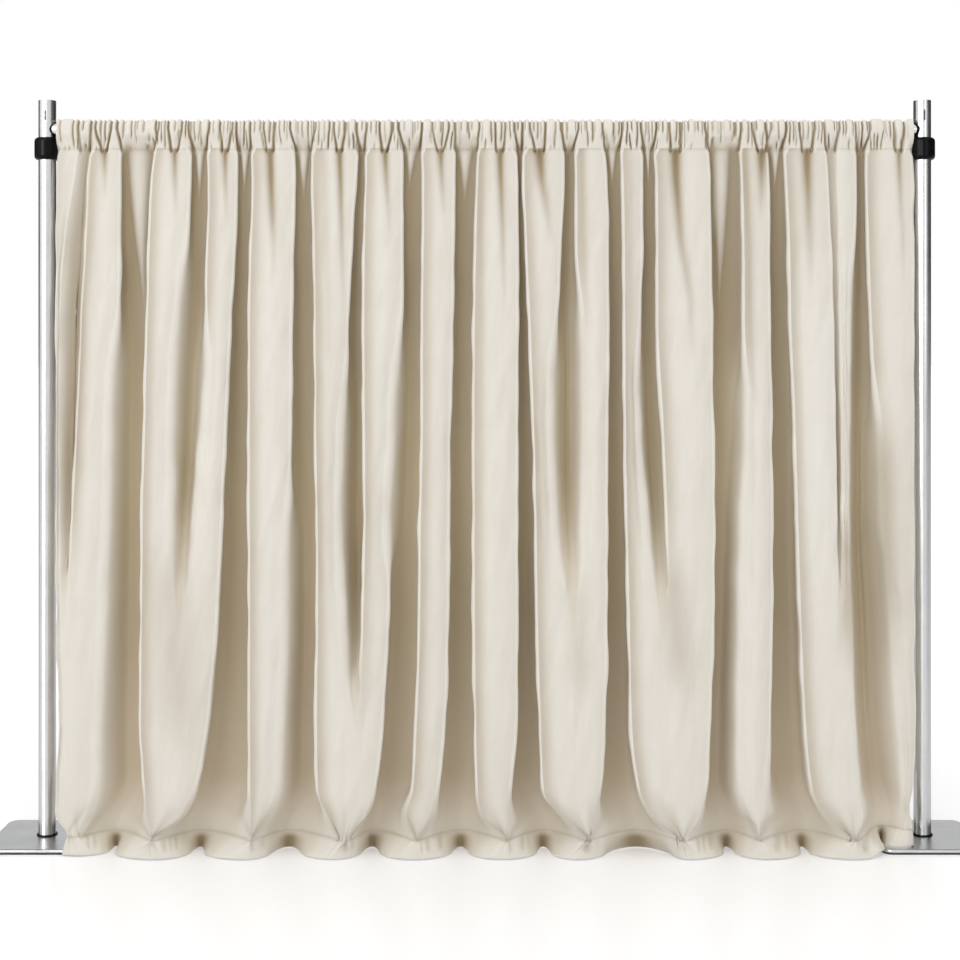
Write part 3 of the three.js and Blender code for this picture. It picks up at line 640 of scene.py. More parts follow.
# The hem's line on the floor.
def floorRow():
    across, depth = np.zeros(columnCount), np.zeros(columnCount)
    endDepth = drape["footEndDepth"]
    for k, (low, tip, high) in enumerate(hemFeet):
        part = footOf == k
        tipDepth = drape["floorReach"] * footReachShares[k]
        lowDepth = drape["leftEndDepth"] if k == 0 else endDepth
        xLow, xHigh = placeOfColumn(low, lowDepth), placeOfColumn(high, endDepth)
        xTip = placeOfColumn(tip, tipDepth)
        angle = turnOf[part] * math.pi
        reach = np.where(angle < math.pi / 2, xTip - xLow, xHigh - xTip)
        across[part] = xTip - reach * np.cos(angle)
        sideDepth = np.where(angle < math.pi / 2, lowDepth, endDepth)
        depth[part] = sideDepth + (tipDepth - sideDepth) * np.sin(angle) ** drape["footRound"]
    half = valleyColumns // 2
    for i in openGaps:
        columns = np.arange(valleyCentres[i] - half, valleyCentres[i] + half + 1)
        s = np.linspace(0, 1, len(columns))
        across[columns] = mix(across[columns[0]], across[columns[-1]], s)
        depth[columns] = mix(depth[columns[0]], depth[columns[-1]], s) - drape["hemTuck"] * 4 * s * (1 - s)
    return across, depth


floorAcross, floorDepth = floorRow()


# The row that the folds take where they are drawn in above the hem: from each fold's rims the cloth slants
# back to the valleys. At the hem's stitching the drape has this form alone.
def pinchedRow(across, depth, z):
    start, before = across, depth
    across, depth = across.copy(), depth.copy()
    reach, down = float(reachAt(z)), float(fade(drape["hemHeight"], drape["pinchHeight"], z))
    back = mix(float(valleyAt(z)), drape["valleyAtHem"], down)
    for k, (first, last, low, high) in enumerate(footSpans()):
        share = footReachShares[k]
        front = mix(reach * share, drape["floorReach"] * share, drape["pinchReach"] * down)
        front -= drape["pinchPull"] * down
        face = np.arange(low, high + 1)
        s = (face - low) / (high - low)
        depth[face] = front + mix(drape["swell"], drape["hemSwell"], down) * 4 * s * (1 - s)
        factor = keepColumns(1, before[face], depth[face])
        if first == 0:
            factor[:returnColumns] = factor[returnColumns]
        if last == columnCount - 1:
            factor[-returnColumns:] = factor[-returnColumns - 1]
        across[face] *= factor
        for edge, rim in ((first, low), (last, high)):
            if edge == rim:
                continue
            columns = np.arange(min(edge, rim), max(edge, rim) + 1)
            t = np.abs(columns - edge) / abs(rim - edge)
            middle = mix(start[edge], floorAcross[edge], down)
            across[columns] = mix(middle, across[rim], t)
            depth[columns] = mix(back, front, t ** mix(*drape["slantPower"], down))
    return across, depth


def drapeHeights():
    low, high = drape["bodyHeights"]
    hem = np.linspace(0, drape["hemHeight"], drape["hemRows"])
    feet = np.arange(drape["hemHeight"], low, drape["detailPitch"])[1:]
    body = np.arange(low, high, drape["bodyPitch"])
    top = np.arange(high, drape["seamHeight"] + 1e-6, drape["detailPitch"])
    return hem, np.concatenate([feet, body, top, [drape["seamHeight"]]])


def makeBody():
    hemHeights, heights = drapeHeights()
    # The feet's reach passes softly from one foot to the next, over this many columns to each side.
    spread = 30
    inGaps, everywhere = drape["drawnTone"]
    kernel = np.hanning(2 * spread + 1)
    share = np.array([footReachShares[k] for k in footOf])
    share = np.convolve(np.pad(share, spread, mode="edge"), kernel / kernel.sum(), mode="valid")
    inGap = np.zeros(columnCount)
    for i in range(len(foldGaps)):
        inGap[gapPart(i)] = 1
    rows = []
    for z in [drape["hemHeight"]] + list(heights):
        across, depth, hollow, paintedShading = foldRow(z)
        scaled = depth * mix(1, share, 1 - float(smooth(*drape["footHeights"], z)))
        across, depth = keepColumns(across, depth, scaled), scaled
        drawn = float(fade(drape["hemHeight"], drape["pinchHeight"], z))
        if drawn > 0:
            pinchedAcross, pinchedDepth = pinchedRow(across, depth, z)
            across, depth = mix(across, pinchedAcross, drawn), mix(depth, pinchedDepth, drawn)
            # Where the folds are drawn in, the valleys' painted shade and the painted shading fade.
            hollow = hollow * (1 - drape["hemLight"] * drawn)
            paintedShading = paintedShading * (1 - inGaps * drawn * inGap) * (1 - everywhere * drawn)
        rows.append((across, depth, hollow, paintedShading))
    across, depth, hollow, paintedShading = (np.array([row[k] for row in rows]) for k in range(4))
    flare = ((1 - hemHeights / drape["hemHeight"]) ** drape["flare"])[:, None]
    ones = np.ones((len(hemHeights), 1))
    across = np.concatenate([mix(across[0], floorAcross, flare), across[1:]])
    depth = np.concatenate([mix(depth[0], floorDepth, flare), depth[1:]])
    hollow = np.concatenate([hollow[:1] * ones, hollow[1:]])
    paintedShading = np.concatenate([paintedShading[:1] * 0 * ones, paintedShading[1:]])
    heights = np.concatenate([hemHeights, heights])
    return across, depth, np.repeat(heights[:, None], columnCount, axis=1), hollow, paintedShading


# The gathers of the rod pocket. The main creases run up from both sides of each gap and wedge and spread
# apart, and lesser ones come down from the pocket's top.
gathers = {
    "spread": 0.013,            # how far a main crease moves out between the seam and the top
    "spreadShares": (0.3, 1.5),
    "mainInset": 0.0012,        # into the gap from its side
    "mainStart": -0.022,        # above the seam
    "mainWidth": (0.0034, 0.0050),
    "mainDepth": (0.0060, 0.0090),
    # how dark a main crease's painted shade is
    "mainDark": (1.2, 1.75),
    "wedgeSides": 0.8,          # where a wedge's creases stand, as a share of its half width
    "margins": (0.018, 0.012),  # without lesser creases, at the drape's left and right end
    "pitch": (0.0085, 0.0165),  # of the lesser creases
    "width": (0.0018, 0.0034),
    "depth": (0.0030, 0.0065),
    # how dark a lesser crease's painted shade is
    "dark": (0.45, 1.65),
    "length": (0.014, 0.080),   # how far down they come
    "lengthPower": 1.4,
    "over": 0.04,               # how far a crease runs on past the bar's axis
    "lean": 0.12,               # sideways for each metre down
    "sway": (0.0012, 400, 55),  # how far a crease sways, and how fast across the drape and up it
    "lowShare": 0.24,           # how many start at the seam instead and run up
    "lowStart": -0.008,
    "ends": (0.004, 0.018),     # a crease's end fades from outside it to inside it
    "narrow": 0.55,             # its width at the end, as a share
    "shadeShift": 0.25,         # its painted shade to the left and its painted light to the right of it, in its widths
    "lightShift": 1.9,
    "lightWidth": 0.9,
    "light": 0.34,              # how much painted light the cloth takes just to the right of a crease
    "recess": 0.0042,           # how far the cloth over a gap lies back
    "recessSides": (0.002, 0.004),  # from outside the gap's side to inside it
    "recessLost": 0.7,          # the share of it that goes towards the top, and between which heights
    "recessTop": (0.02, 0.08),
    # the painted shade over a gap, and the heights over which it goes
    "recessShade": 0.22,
    "recessShadeTop": (0.02, 0.07),
    "rise": 0.0060,             # how far the cloth between creases rounds out
    "riseWidth": 0.0085,
    "riseRound": 0.8,
    "endGap": 0.05,             # beyond its end a crease counts as this far away
    "clear": 0.0042,            # how far the gathered cloth stands off the bar
    "clearFrom": (0.045, 0.015),    # below the bar's axis
    "deepest": (-0.012, -0.0012),   # how far in the cloth may go, below the bar and against it
    "deepestFrom": (0.040, 0.022),
    "seamGroove": 0.0016,
    "seamWidth": 0.0045,
    # the painted shade along the seam
    "seamShade": 0.22,
    "below": (0.026, 0.004),    # the gathers start this far below the seam and are full this far above it
    "leastStep": 0.0012,        # of the cloth's run between two columns
    "even": 0.9,                # how evenly the columns spread at the seam
    "flat": 0.55,               # how far the folds flatten there, towards this share of their reach
    "flatReach": 0.6,
    "hollow": 0.8,              # the share of the hollows' painted shade in the pocket, and where it has gone
    "hollowTop": 0.03,
}


# Each crease: its place at the seam, its shift for each metre up, where it starts and ends above the seam,
# how wide, how deep and how dark its painted shade is. With them come the spans of the gaps and wedges.
def makeCreases(low, high):
    creases = []
    top = barZ - drape["seamHeight"]
    stop = top + gathers["over"]
    spans = [[placeOfColumn(column, drape["seamReach"]) for column in gap[0]] for gap in foldGaps]
    for places, halfWidth, _, deep in softWedges:
        if deep > wedges["deepFrom"]:
            reach = gathers["wedgeSides"] * halfWidth
            spans.append([placeOfColumn(places[0] + side * reach, drape["seamReach"]) for side in (-1, 1)])
    spans.sort()
    for a, b in spans:
        for place, side in ((a, -1), (b, 1)):
            outward = side * gathers["spread"] * seeded.uniform(*gathers["spreadShares"]) / top
            sizes = [seeded.uniform(*gathers[key]) for key in ("mainWidth", "mainDepth", "mainDark")]
            creases.append((place - side * gathers["mainInset"], outward, gathers["mainStart"], stop, *sizes))
    place = low + gathers["margins"][0]
    while place < high - gathers["margins"][1]:
        strength = seeded.random()
        length = mix(*gathers["length"], seeded.random() ** gathers["lengthPower"])
        fromTop = seeded.random() > gathers["lowShare"]
        ends = (top - length, stop) if fromTop else (gathers["lowStart"], length)
        lean = seeded.uniform(-1, 1) * gathers["lean"]
        sizes = [mix(*gathers[key], strength) for key in ("width", "depth")]
        creases.append((place, lean, *ends, *sizes, mix(*gathers["dark"], seeded.random())))
        place += seeded.uniform(*gathers["pitch"])
    return np.array(creases), spans


# How far the gathers push one row of the cloth out, and the painted shade and light that they lay on it.
def gatherAt(across, up, creases, spans):
    place, lean, low, high, width, deep, dark = creases.T
    outside, inside = gathers["ends"]
    sway, acrossRate, upRate = gathers["sway"]
    middle = place + lean * up + sway * np.sin(place * acrossRate + up * upRate)
    along = smooth(low - outside, low + inside, up) * fade(high - inside, high + outside, up)
    apart = across[:, None] - middle[None, :]
    away = apart / (width * (gathers["narrow"] + (1 - gathers["narrow"]) * along))[None, :]

    def strongest(distance, strength):
        return (bell(distance) * along[None, :] * strength).max(axis=1)

    push = -strongest(away, deep[None, :])
    shade = strongest(away + gathers["shadeShift"], dark[None, :])
    light = strongest((away - gathers["lightShift"]) / gathers["lightWidth"], dark[None, :])
    near = (np.abs(apart) + gathers["endGap"] * (1 - along[None, :])).min(axis=1)
    push += gathers["rise"] * np.clip(near / gathers["riseWidth"], 0, 1) ** gathers["riseRound"]
    out, in_ = gathers["recessSides"]
    for a, b in spans:
        within = smooth(a - out, a + in_, across) * fade(b - in_, b + out, across)
        push -= gathers["recess"] * within * (1 - gathers["recessLost"] * smooth(*gathers["recessTop"], up))
        shade = np.maximum(shade, gathers["recessShade"] * within * fade(*gathers["recessShadeTop"], up))
    seam = bell(up / gathers["seamWidth"])
    push -= gathers["seamGroove"] * seam

    def towardsBar(key):
        below, above = gathers[key]
        top = barZ - drape["seamHeight"]
        return float(smooth(top - below, top - above, up))

    push += gathers["clear"] * towardsBar("clearFrom")
    push = np.maximum(push, mix(*gathers["deepest"], towardsBar("deepestFrom")))
    return push, shade + gathers["seamShade"] * seam - gathers["light"] * light


wedges = {
    "rows": [150, 180, 240, 300, 360],  # of the photograph, at which softWedges gives columns
    "taper": 0.55,              # how much narrower a wedge is at its end
    "width": 4.6,               # the half width that takes the full depth
    "deepFrom": 0.5,            # deeper ones are slits that start at a crease of the pocket
    "slit": 0.6,                # how much more painted shade these take at the top
    "slitNarrow": 5,
    "slitFade": 4,
    "fade": 1.2,
    "grooveRows": (148, 160),   # over which the wedges' depth and their painted shade come in
    "shadeRows": (146, 152),
    # the most painted shade that a wedge's depth gives
    "darkest": 1.1,
}
shadeEnds = (0.3, 0.6)          # where a faint painted shade is full and where it starts to fade, down its height
strokes = {
    "widths": (0.55, 1.5),      # at a crease's start and end, in its half widths
    "fade": 0.7,
}

# Wedges that run down from the pocket and narrow: columns at the rows above, half width at the top, the row
# at which the wedge has faded, and how deep it is. The depth sets both a groove and its painted shade.
softWedges = [
    ([104.5, 105], 4.2, 205, 0.8), ([174.5, 175, 178], 4.4, 230, 0.8), ([225, 225.5, 228], 4.2, 230, 0.85),
    ([270, 271, 273.5, 274], 4.8, 295, 1.0), ([339.5, 340.5, 342, 344], 4.4, 335, 0.95),
    ([385, 386.5, 391], 4.6, 250, 0.9), ([440.5, 442, 446], 4.6, 230, 0.85),
    ([500, 501, 503, 505], 4.8, 325, 0.95), ([539.5, 542, 552], 6.4, 250, 1.0),
    ([675.5, 676.5, 681, 691, 694], 6.6, 370, 0.95), ([762, 762], 6.2, 224, 0.95),
    ([807, 808, 810, 811], 6.6, 325, 0.85), ([899, 900, 903, 906], 4.2, 295, 0.6),
    ([745, 746, 749, 750, 752], 4.0, 700, 0.28), ([324, 325, 327, 329, 331], 5.0, 560, 0.22),
    ([480, 481, 481, 482, 482], 4.0, 600, 0.2), ([582, 583, 584, 586, 586], 4.0, 640, 0.22),
]

# Broad, faint painted shades on the folds' faces, and painted light where the depth is below 0: first and
# last row, the columns there, half width in pixels, depth.
softShades = [
    (540, 720, 670, 684, 16, 0.34), (380, 700, 880, 888, 16, 0.6), (500, 690, 846, 851, 8, 0.48),
    (520, 790, 168, 184, 24, 0.3), (180, 560, 79, 66, 6, 1.0), (230, 620, 816, 820, 16, -0.25),
    (152, 250, 270, 274, 6, 0.22), (560, 720, 574, 580, 12, 0.2), (600, 740, 354, 360, 12, 0.2),
]

# Creases and drags near the hem, which also take painted shade: both ends in the photograph's pixels, half
# width in pixels, and depth in millimetres.
creaseStrokes = [
    (70, 830, 92, 800, 3.0, 3.0), (84, 836, 104, 812, 2.6, 3.0), (88, 836, 116, 790, 5.0, 3.0),
    (78, 834, 74, 806, 2.6, 2.4), (150, 838, 130, 806, 3.2, 3.4), (152, 838, 176, 806, 4.0, 3.4),
    (153, 838, 186, 820, 3.0, 2.6), (250, 836, 236, 800, 3.4, 3.0), (254, 836, 274, 806, 3.6, 3.4),
    (338, 838, 324, 800, 3.4, 3.2), (350, 838, 368, 806, 3.6, 3.2), (344, 838, 345, 800, 3.0, 2.6),
    (416, 840, 402, 806, 3.4, 3.2), (419, 840, 438, 812, 3.4, 3.2), (506, 840, 490, 808, 3.4, 3.2),
    (509, 840, 528, 806, 3.6, 3.4), (588, 841, 568, 806, 4.0, 3.4), (590, 841, 592, 796, 3.4, 2.8),
    (591, 841, 606, 812, 3.2, 3.0), (680, 840, 652, 790, 5.0, 3.6), (682, 840, 668, 800, 3.6, 3.2),
    (684, 840, 700, 806, 3.4, 3.0), (757, 838, 742, 806, 3.6, 3.2), (760, 838, 776, 808, 3.4, 3.0),
    (852, 840, 826, 800, 4.6, 3.4), (855, 840, 850, 800, 3.0, 2.8), (857, 840, 872, 812, 3.2, 3.0),
]


# The waves of the cloth's unevenness. Their lengths across and down the cloth are in sizes.
waves = {"count": 14, "long": (0.6, 1.7), "tall": (3.5, 9.0), "tilt": (-0.25, 0.25), "shift": (0, 7),
         "share": 3.5}


# Smooth random unevenness over the cloth, from a few seeded waves.
def unevenness(across, z, size, seedShift):
    draw = np.random.default_rng(drape["seed"] + seedShift).uniform
    total = np.zeros(across.shape)
    for _ in range(waves["count"]):
        long, tall = size * draw(*waves["long"]), size * draw(*waves["tall"])
        tilt = draw(*waves["tilt"])
        total += np.sin(2 * math.pi * ((across + tilt * z) / long) + draw(*waves["shift"])) * np.sin(
            2 * math.pi * z / tall + draw(*waves["shift"]))
    return total / waves["share"]


def wedgeDepths(column, row):
    total, core = np.zeros(column.shape), np.zeros(column.shape)
    top = wedges["rows"][0]
    for places, halfWidth, endRow, deep in softWedges:
        down = np.clip((row - top) / (endRow - top), 0, 1)
        middle = np.interp(row, wedges["rows"][:len(places)], places)
        away = (column - middle) / (halfWidth * (1 - wedges["taper"] * down))
        total += deep * (halfWidth / wedges["width"]) ** 0.5 * bell(away) * (1 - down) ** wedges["fade"]
        slit = np.exp(-wedges["slitNarrow"] * away * away) * (1 - down) ** wedges["slitFade"]
        core += (deep > wedges["deepFrom"]) * slit
    return total, core


def shadeDepths(column, row):
    total = np.zeros(column.shape)
    for first, last, start, end, halfWidth, deep in softShades:
        along = np.clip((row - first) / (last - first), 0, 1)
        away = (column - mix(start, end, along)) / halfWidth
        total += deep * bell(away) * (smooth(0, shadeEnds[0], along) * fade(shadeEnds[1], 1.0, along))
    return total


# The small puckers of the hem. Columns and widths of the fans are the photograph's.
puckers = {
    "fanPitch": 8.2,            # between the puckers beside each pinch
    "fanDepth": 0.0026,
    # how dark the puckers' painted shade is
    "fanShade": 0.34,
    "fanStart": (3, 8),         # to the right of the pinch
    "fanEnd": (16, 6),          # to the left of the foot's end
    "fanHeights": (0.012, 0.034, 0.054, 0.063),     # where they start, are full, start to end and have ended
    "fanLean": 34.8,            # sideways, in columns for each metre down
    "fanUneven": (0.30, 1.9),   # how far they stray from an even pitch, and how fast that changes
    "fanSharp": 1.4,
    "depth": 0.0024,            # of the puckers round each pinch
    "turn": 0.30,               # how far round the foot they go
    "above": 0.028,             # how soon they fade above the stitching
    "below": 0.05,
    "rate": (0.55, (0.35, 0.19), (0.25, 0.047)),    # radians for each column, and how these change
    "beat": (0.31, 1.7),
}


# Puckers fan out below the hem's stitching, to the right of every pinch.
def fanDepths(column, z):
    total = np.zeros(column.shape)
    (start, full), (ending, end) = puckers["fanStart"], puckers["fanEnd"]
    for _, tip, high in hemFeet:
        inside = smooth(tip + start, tip + full, column) * fade(high - ending, high - end, column)
        along = (column - tip - puckers["fanLean"] * (drape["hemHeight"] - z)) / puckers["fanPitch"]
        along += puckers["fanUneven"][0] * np.sin(puckers["fanUneven"][1] * along + tip)
        total += inside * (0.5 + 0.5 * np.cos(2 * math.pi * along)) ** puckers["fanSharp"]
    return total * smooth(*puckers["fanHeights"][:2], z) * fade(*puckers["fanHeights"][2:], z)


def strokeDepths(column, row):
    total = np.zeros(column.shape)
    for x0, y0, x1, y1, halfWidth, deep in creaseStrokes:
        dx, dy = x1 - x0, y1 - y0
        along = np.clip(((column - x0) * dx + (row - y0) * dy) / (dx * dx + dy * dy), 0, 1)
        apart = np.hypot(column - x0 - along * dx, row - y0 - along * dy)
        width = halfWidth * mix(*strokes["widths"], along)
        total += deep * 0.001 * bell(apart / width) * (1 - along) ** strokes["fade"]
    return total


# Puckers fan out from every pinch, above and below the hem's stitching.
def puckerDepths(z):
    near = np.abs(turnOf - 0.5)[None, :]
    above = np.exp(-np.clip(z - drape["hemHeight"], 0, None) / puckers["above"])
    below = smooth(0.0, puckers["below"], z)
    k = np.arange(columnCount)
    rate, *changes = puckers["rate"]
    for change, speed in changes:
        rate = rate + change * np.sin(k * speed)
    phase = np.cumsum(rate)
    beat, shift = puckers["beat"]
    wave = np.sin(phase)[None, :] * np.sin(phase * beat + shift)[None, :]
    share = np.where(z > drape["hemHeight"], above, below)
    return puckers["depth"] * wave * bell(near / puckers["turn"]) * share


def normalsOf(points):
    normal = np.cross(np.gradient(points, axis=1), np.gradient(points, axis=0))
    return normal / np.maximum(np.linalg.norm(normal, axis=2, keepdims=True), 1e-12)


# The rod pocket above the stitching: the front wall up to the bar, over it and down its back.
def makePocket(seamAcross, seamDepth):
    radius, rise = barRadius + drape["pocketClear"], barZ - drape["seamHeight"]
    front, over, down = (np.linspace(0, 1, count + 1)[1:] for count in drape["pocketRows"])
    backDepth, seam = seamDepth - drape["pocketBack"], drape["seamHeight"]
    rows = [(mix(seamDepth, radius, smooth(0, drape["pocketSlope"], s)), seam + rise * s) for s in front]
    rows += [(radius * math.cos(math.pi * s), barZ + radius * math.sin(math.pi * s)) for s in over]
    rows += [(mix(-radius, backDepth, smooth(0.0, 1.0, s)), barZ - rise * s) for s in down]
    rows += [(backDepth - drape["flapSlant"] * s, seam - drape["pocketFlap"] * s) for s in (0.5, 1.0)]
    depth, z = (np.array([np.broadcast_to(row[k], columnCount) for row in rows]) for k in (0, 1))
    return np.repeat(seamAcross[None, :], len(rows), axis=0), depth, z


# Near the pocket the folds are gathered: between the valleys the columns spread evenly, and the folds
# flatten.
def gatherColumns(across, depth, z):
    level = np.argmin(np.abs(z[:, 0] - drape["gatherLevel"]))
    steps = np.hypot(np.diff(across[level]), np.diff(depth[level]))
    length = np.concatenate([[0], np.cumsum(np.maximum(steps, gathers["leastStep"]))])
    anchors = [0] + valleyCentres + [columnCount - 1]
    even = np.interp(length, length[anchors], across[-1][anchors])
    gather = smooth(drape["gatherStart"], drape["seamHeight"] + gathers["below"][1], z[:, :1])
    reach = drape["seamReach"] * gathers["flatReach"]
    return mix(across, even[None, :], gathers["even"] * gather), mix(depth, reach, gathers["flat"] * gather)


# The height up the pocket that a row stands for: its back wall mirrors its front.
def pocketHeights(z, bodyRows):
    front, over, _ = drape["pocketRows"]
    heights = z[:, 0].copy()
    heights[bodyRows + front:bodyRows + front + over + 1] = barZ
    heights[bodyRows + front + over + 1:] = 2 * barZ - heights[bodyRows + front + over + 1:]
    return heights


def makeDrape():
    across, depth, z, hollow, paintedShading = makeBody()
    bodyRows = len(z)
    across, depth = gatherColumns(across, depth, z)
    creases, spans = makeCreases(across[-1][0], across[-1][-1])
    pocket = makePocket(across[-1], depth[-1])
    across, depth, z = (np.concatenate(pair) for pair in zip((across, depth, z), pocket))
    up = smooth(0, gathers["hollowTop"], pocket[2] - drape["seamHeight"])
    hollow = np.concatenate([hollow, hollow[-1:] * gathers["hollow"] * (1 - up)])
    paintedShading = np.concatenate([paintedShading, np.zeros(up.shape)])
    points = np.stack([across, -depth, z], axis=2)
    normal = normalsOf(points)
    flat = 1 - hollow
    column, row = photoColumn(across, depth), photoRow(depth, z)
    push = np.zeros(z.shape)
    seam, (below, above) = drape["seamHeight"], gathers["below"]
    for r, height in enumerate(pocketHeights(z, bodyRows)):
        if height > seam - 0.04:
            moved, shade = gatherAt(across[r], min(height, barZ) - seam, creases, spans)
            here = float(smooth(seam - below, seam + above, height))
            push[r] += moved * here
            paintedShading[r] -= shade * here
    body = np.where(np.arange(len(z))[:, None] >= bodyRows, 0, 1.0)
    free = smooth(*drape["unevenHeights"][:2], z) * fade(*drape["unevenHeights"][2:], z)
    for shift, (height, size) in enumerate(drape["unevenness"]):
        push += body * free * flat * height * unevenness(across, z, size, shift + 1)
    # Wedges, strokes and fans are grooves that also take painted shade; the hem's stitching and its tucks
    # take painted shade, and its lower edge a painted highlight.
    groove, core = wedgeDepths(column, row)
    fan = fanDepths(column, z)
    stroke = strokeDepths(column, row) * smooth(0.0, 0.05, z)
    creased = flat * (drape["wedgeDepth"] * groove * smooth(*wedges["grooveRows"], row) + stroke)
    push -= body * (creased + puckers["fanDepth"] * fan)
    dark = np.clip(groove, 0, wedges["darkest"]) + wedges["slit"] * core
    dark = dark * smooth(*wedges["shadeRows"], row)
    paintedShading -= body * (flat * drape["wedgeShade"] * dark + puckers["fanShade"] * fan)
    strokeShade = drape["strokeShade"] * np.clip(stroke / drape["strokeFull"], 0, 1)
    paintedShading -= body * flat * (strokeShade + shadeDepths(column, row))
    push += body * puckerDepths(z)
    stitch = bell((z - drape["hemHeight"]) / drape["hemStitch"])
    push -= body * drape["stitchDepth"] * stitch
    paintedShading -= body * drape["stitchShade"] * stitch
    paintedShading += body * drape["hemRim"] * bell(z / drape["hemStitch"])
    for i in openGaps:
        beside = bell((np.arange(columnCount) - valleyCentres[i]) / drape["caveColumns"])
        paintedShading -= body * drape["caveShade"] * beside[None, :] * fade(*drape["caveHeights"], z)
    points += normal * push[:, :, None]
    lift = (plateTop + drape["plateGap"]) * smooth(*drape["plateClimb"], points[:, :, 0])
    points[:, :, 2] += lift * fade(0.0, drape["climbHeight"], points[:, :, 2])
    points[:, :, 2] += drape["plateGap"] + drape["hemLift"] * fade(0.0, drape["hemHeight"], points[:, :, 2])
    points[:, :, 1] += barY
    return points, hollow, paintedShading, bodyRows


# Panels meet in valleys: the left one's edge runs on a little way behind the right one.
panelSplits = [valleyCentres[i] for i in (3, 7, 12)]


def panelColumns(index, lengths):
    first = panelSplits[index - 1] if index else 0
    last = panelSplits[index] if index < len(panelSplits) else columnCount - 1
    columns, behind = list(range(first, last + 1)), [0.0] * (last - first + 1)
    if index < len(panelSplits):
        for k in range(1, drape["edgeColumns"] + 1):
            columns.append(last + k)
            behind.append(drape["edgeStep"] * k)

    def turnedBack(edge, step, start):
        strip, k = [], edge
        while 0 <= k < columnCount and abs(lengths[k] - lengths[edge]) < drape["sideHem"]:
            strip.append(k)
            k += step
        return strip, [start + drape["layerGap"]] * len(strip)

    leftStrip, leftBehind = turnedBack(columns[0], 1, behind[0])
    rightStrip, rightBehind = turnedBack(columns[-1], -1, behind[-1])
    columns = leftStrip[::-1] + columns + rightStrip
    behind = leftBehind[::-1] + behind + rightBehind
    return np.array(columns), np.array(behind), [len(leftStrip), len(columns) - len(rightStrip) - 1]


def gridMesh(name, points, uv, masks, turns):
    rows, columns = points.shape[:2]
    index = np.arange(rows * columns).reshape(rows, columns)
    quads = np.stack([index[:-1, :-1], index[:-1, 1:], index[1:, 1:], index[1:, :-1]], axis=2).reshape(-1, 4)
    mesh = bpy.data.meshes.new(name)
    mesh.from_pydata(points.reshape(-1, 3).tolist(), [], quads.tolist())
    layer = mesh.uv_layers.new(name="cloth")
    layer.data.foreach_set("uv", uv.reshape(-1, 2)[quads.reshape(-1)].astype(np.float32).reshape(-1))
    for label, values in masks.items():
        mask = mesh.attributes.new(label, "FLOAT", "POINT")
        mask.data.foreach_set("value", values.reshape(-1).astype(np.float32))
    mesh.shade_smooth()
    mesh.update()
    ends = np.zeros(2 * len(mesh.edges), int)
    mesh.edges.foreach_get("vertices", ends)
    turned = np.isin(ends.reshape(-1, 2) % columns, turns)
    sharp = mesh.attributes.new("sharp_edge", "BOOLEAN", "EDGE")
    sharp.data.foreach_set("value", turned.all(axis=1))
    return addObject(name, mesh)


def makePanels():
    points, hollow, paintedShading, bodyRows = makeDrape()
    normal = normalsOf(points)

    # How far along the cloth each column or row lies.
    def runOf(places, axis):
        steps = np.linalg.norm(np.diff(places, axis=axis), axis=2).mean(axis=1 - axis)
        return np.concatenate([[0], np.cumsum(steps)])

    lengths, rise = runOf(points[slice(*drape["widthRows"])], 1), runOf(points, 0)
    hemRows = drape["hemRows"]
    rowOrder = np.concatenate([np.arange(hemRows)[::-1], np.arange(len(points))])
    rowBehind = np.concatenate([np.full(hemRows, drape["layerGap"]), np.zeros(len(points))])
    panels = []
    for index in range(len(panelSplits) + 1):
        columns, columnBehind, turns = panelColumns(index, lengths)
        behind = rowBehind[:, None] + columnBehind[None, :]
        grid = points[rowOrder][:, columns] - normal[rowOrder][:, columns] * behind[:, :, None]
        grid[:, :, 2] = np.maximum(grid[:, :, 2], drape["plateGap"])
        uv = np.stack(np.broadcast_arrays(lengths[columns][None, :], rise[rowOrder][:, None]), axis=2)
        masks = {"hollow": hollow[rowOrder][:, columns], "paintedShading": paintedShading[rowOrder][:, columns]}
        panels.append(gridMesh("drape_cloth_" + str(index + 1), grid, uv, masks, turns))
    return panels, points, normal, bodyRows


panels, drapePoints, drapeNormals, bodyRows = makePanels()
print("drape made:", [len(panel.data.polygons) for panel in panels], "faces")


# Gives a node's inputs, in order or by name, a plain value or another node's output.
def feed(tree, node, *inOrder, **named):
    values = dict(enumerate(inOrder)) | {name.replace("_", " "): value for name, value in named.items()}
    for key, value in values.items():
        if isinstance(value, bpy.types.NodeSocket):
            tree.links.new(value, node.inputs[key])
        else:
            node.inputs[key].default_value = value
    return node


def addNode(tree, kind, *inOrder, **named):
    node = tree.nodes.new(kind)
    for key in [key for key in named if hasattr(node, key)]:
        setattr(node, key, named.pop(key))
    return feed(tree, node, *inOrder, **named)


def newGroup(name, kind, inputs, outputs):
    group = bpy.data.node_groups.new(name, kind)
    for label, socketKind, value in inputs:
        socket = group.interface.new_socket(label, in_out="INPUT", socket_type="NodeSocket" + socketKind)
        if value is not None:
            socket.default_value = value
    for label, socketKind in outputs:
        group.interface.new_socket(label, in_out="OUTPUT", socket_type="NodeSocket" + socketKind)
    return group, group.nodes.new("NodeGroupInput").outputs, group.nodes.new("NodeGroupOutput")


# Sewing: a run of small stitches along a row of the cloth, laid by geometry nodes.
sewing = {
    "Pitch": 0.0052,
    "Length": 0.0036,
    "Width": 0.00045,
    "proud": 0.0004,            # how far the stitches stand off the cloth
    "sides": 5,
    "varied": (0.85, 1.15),     # the least and the most that one is scaled
    "seed": 5,
}


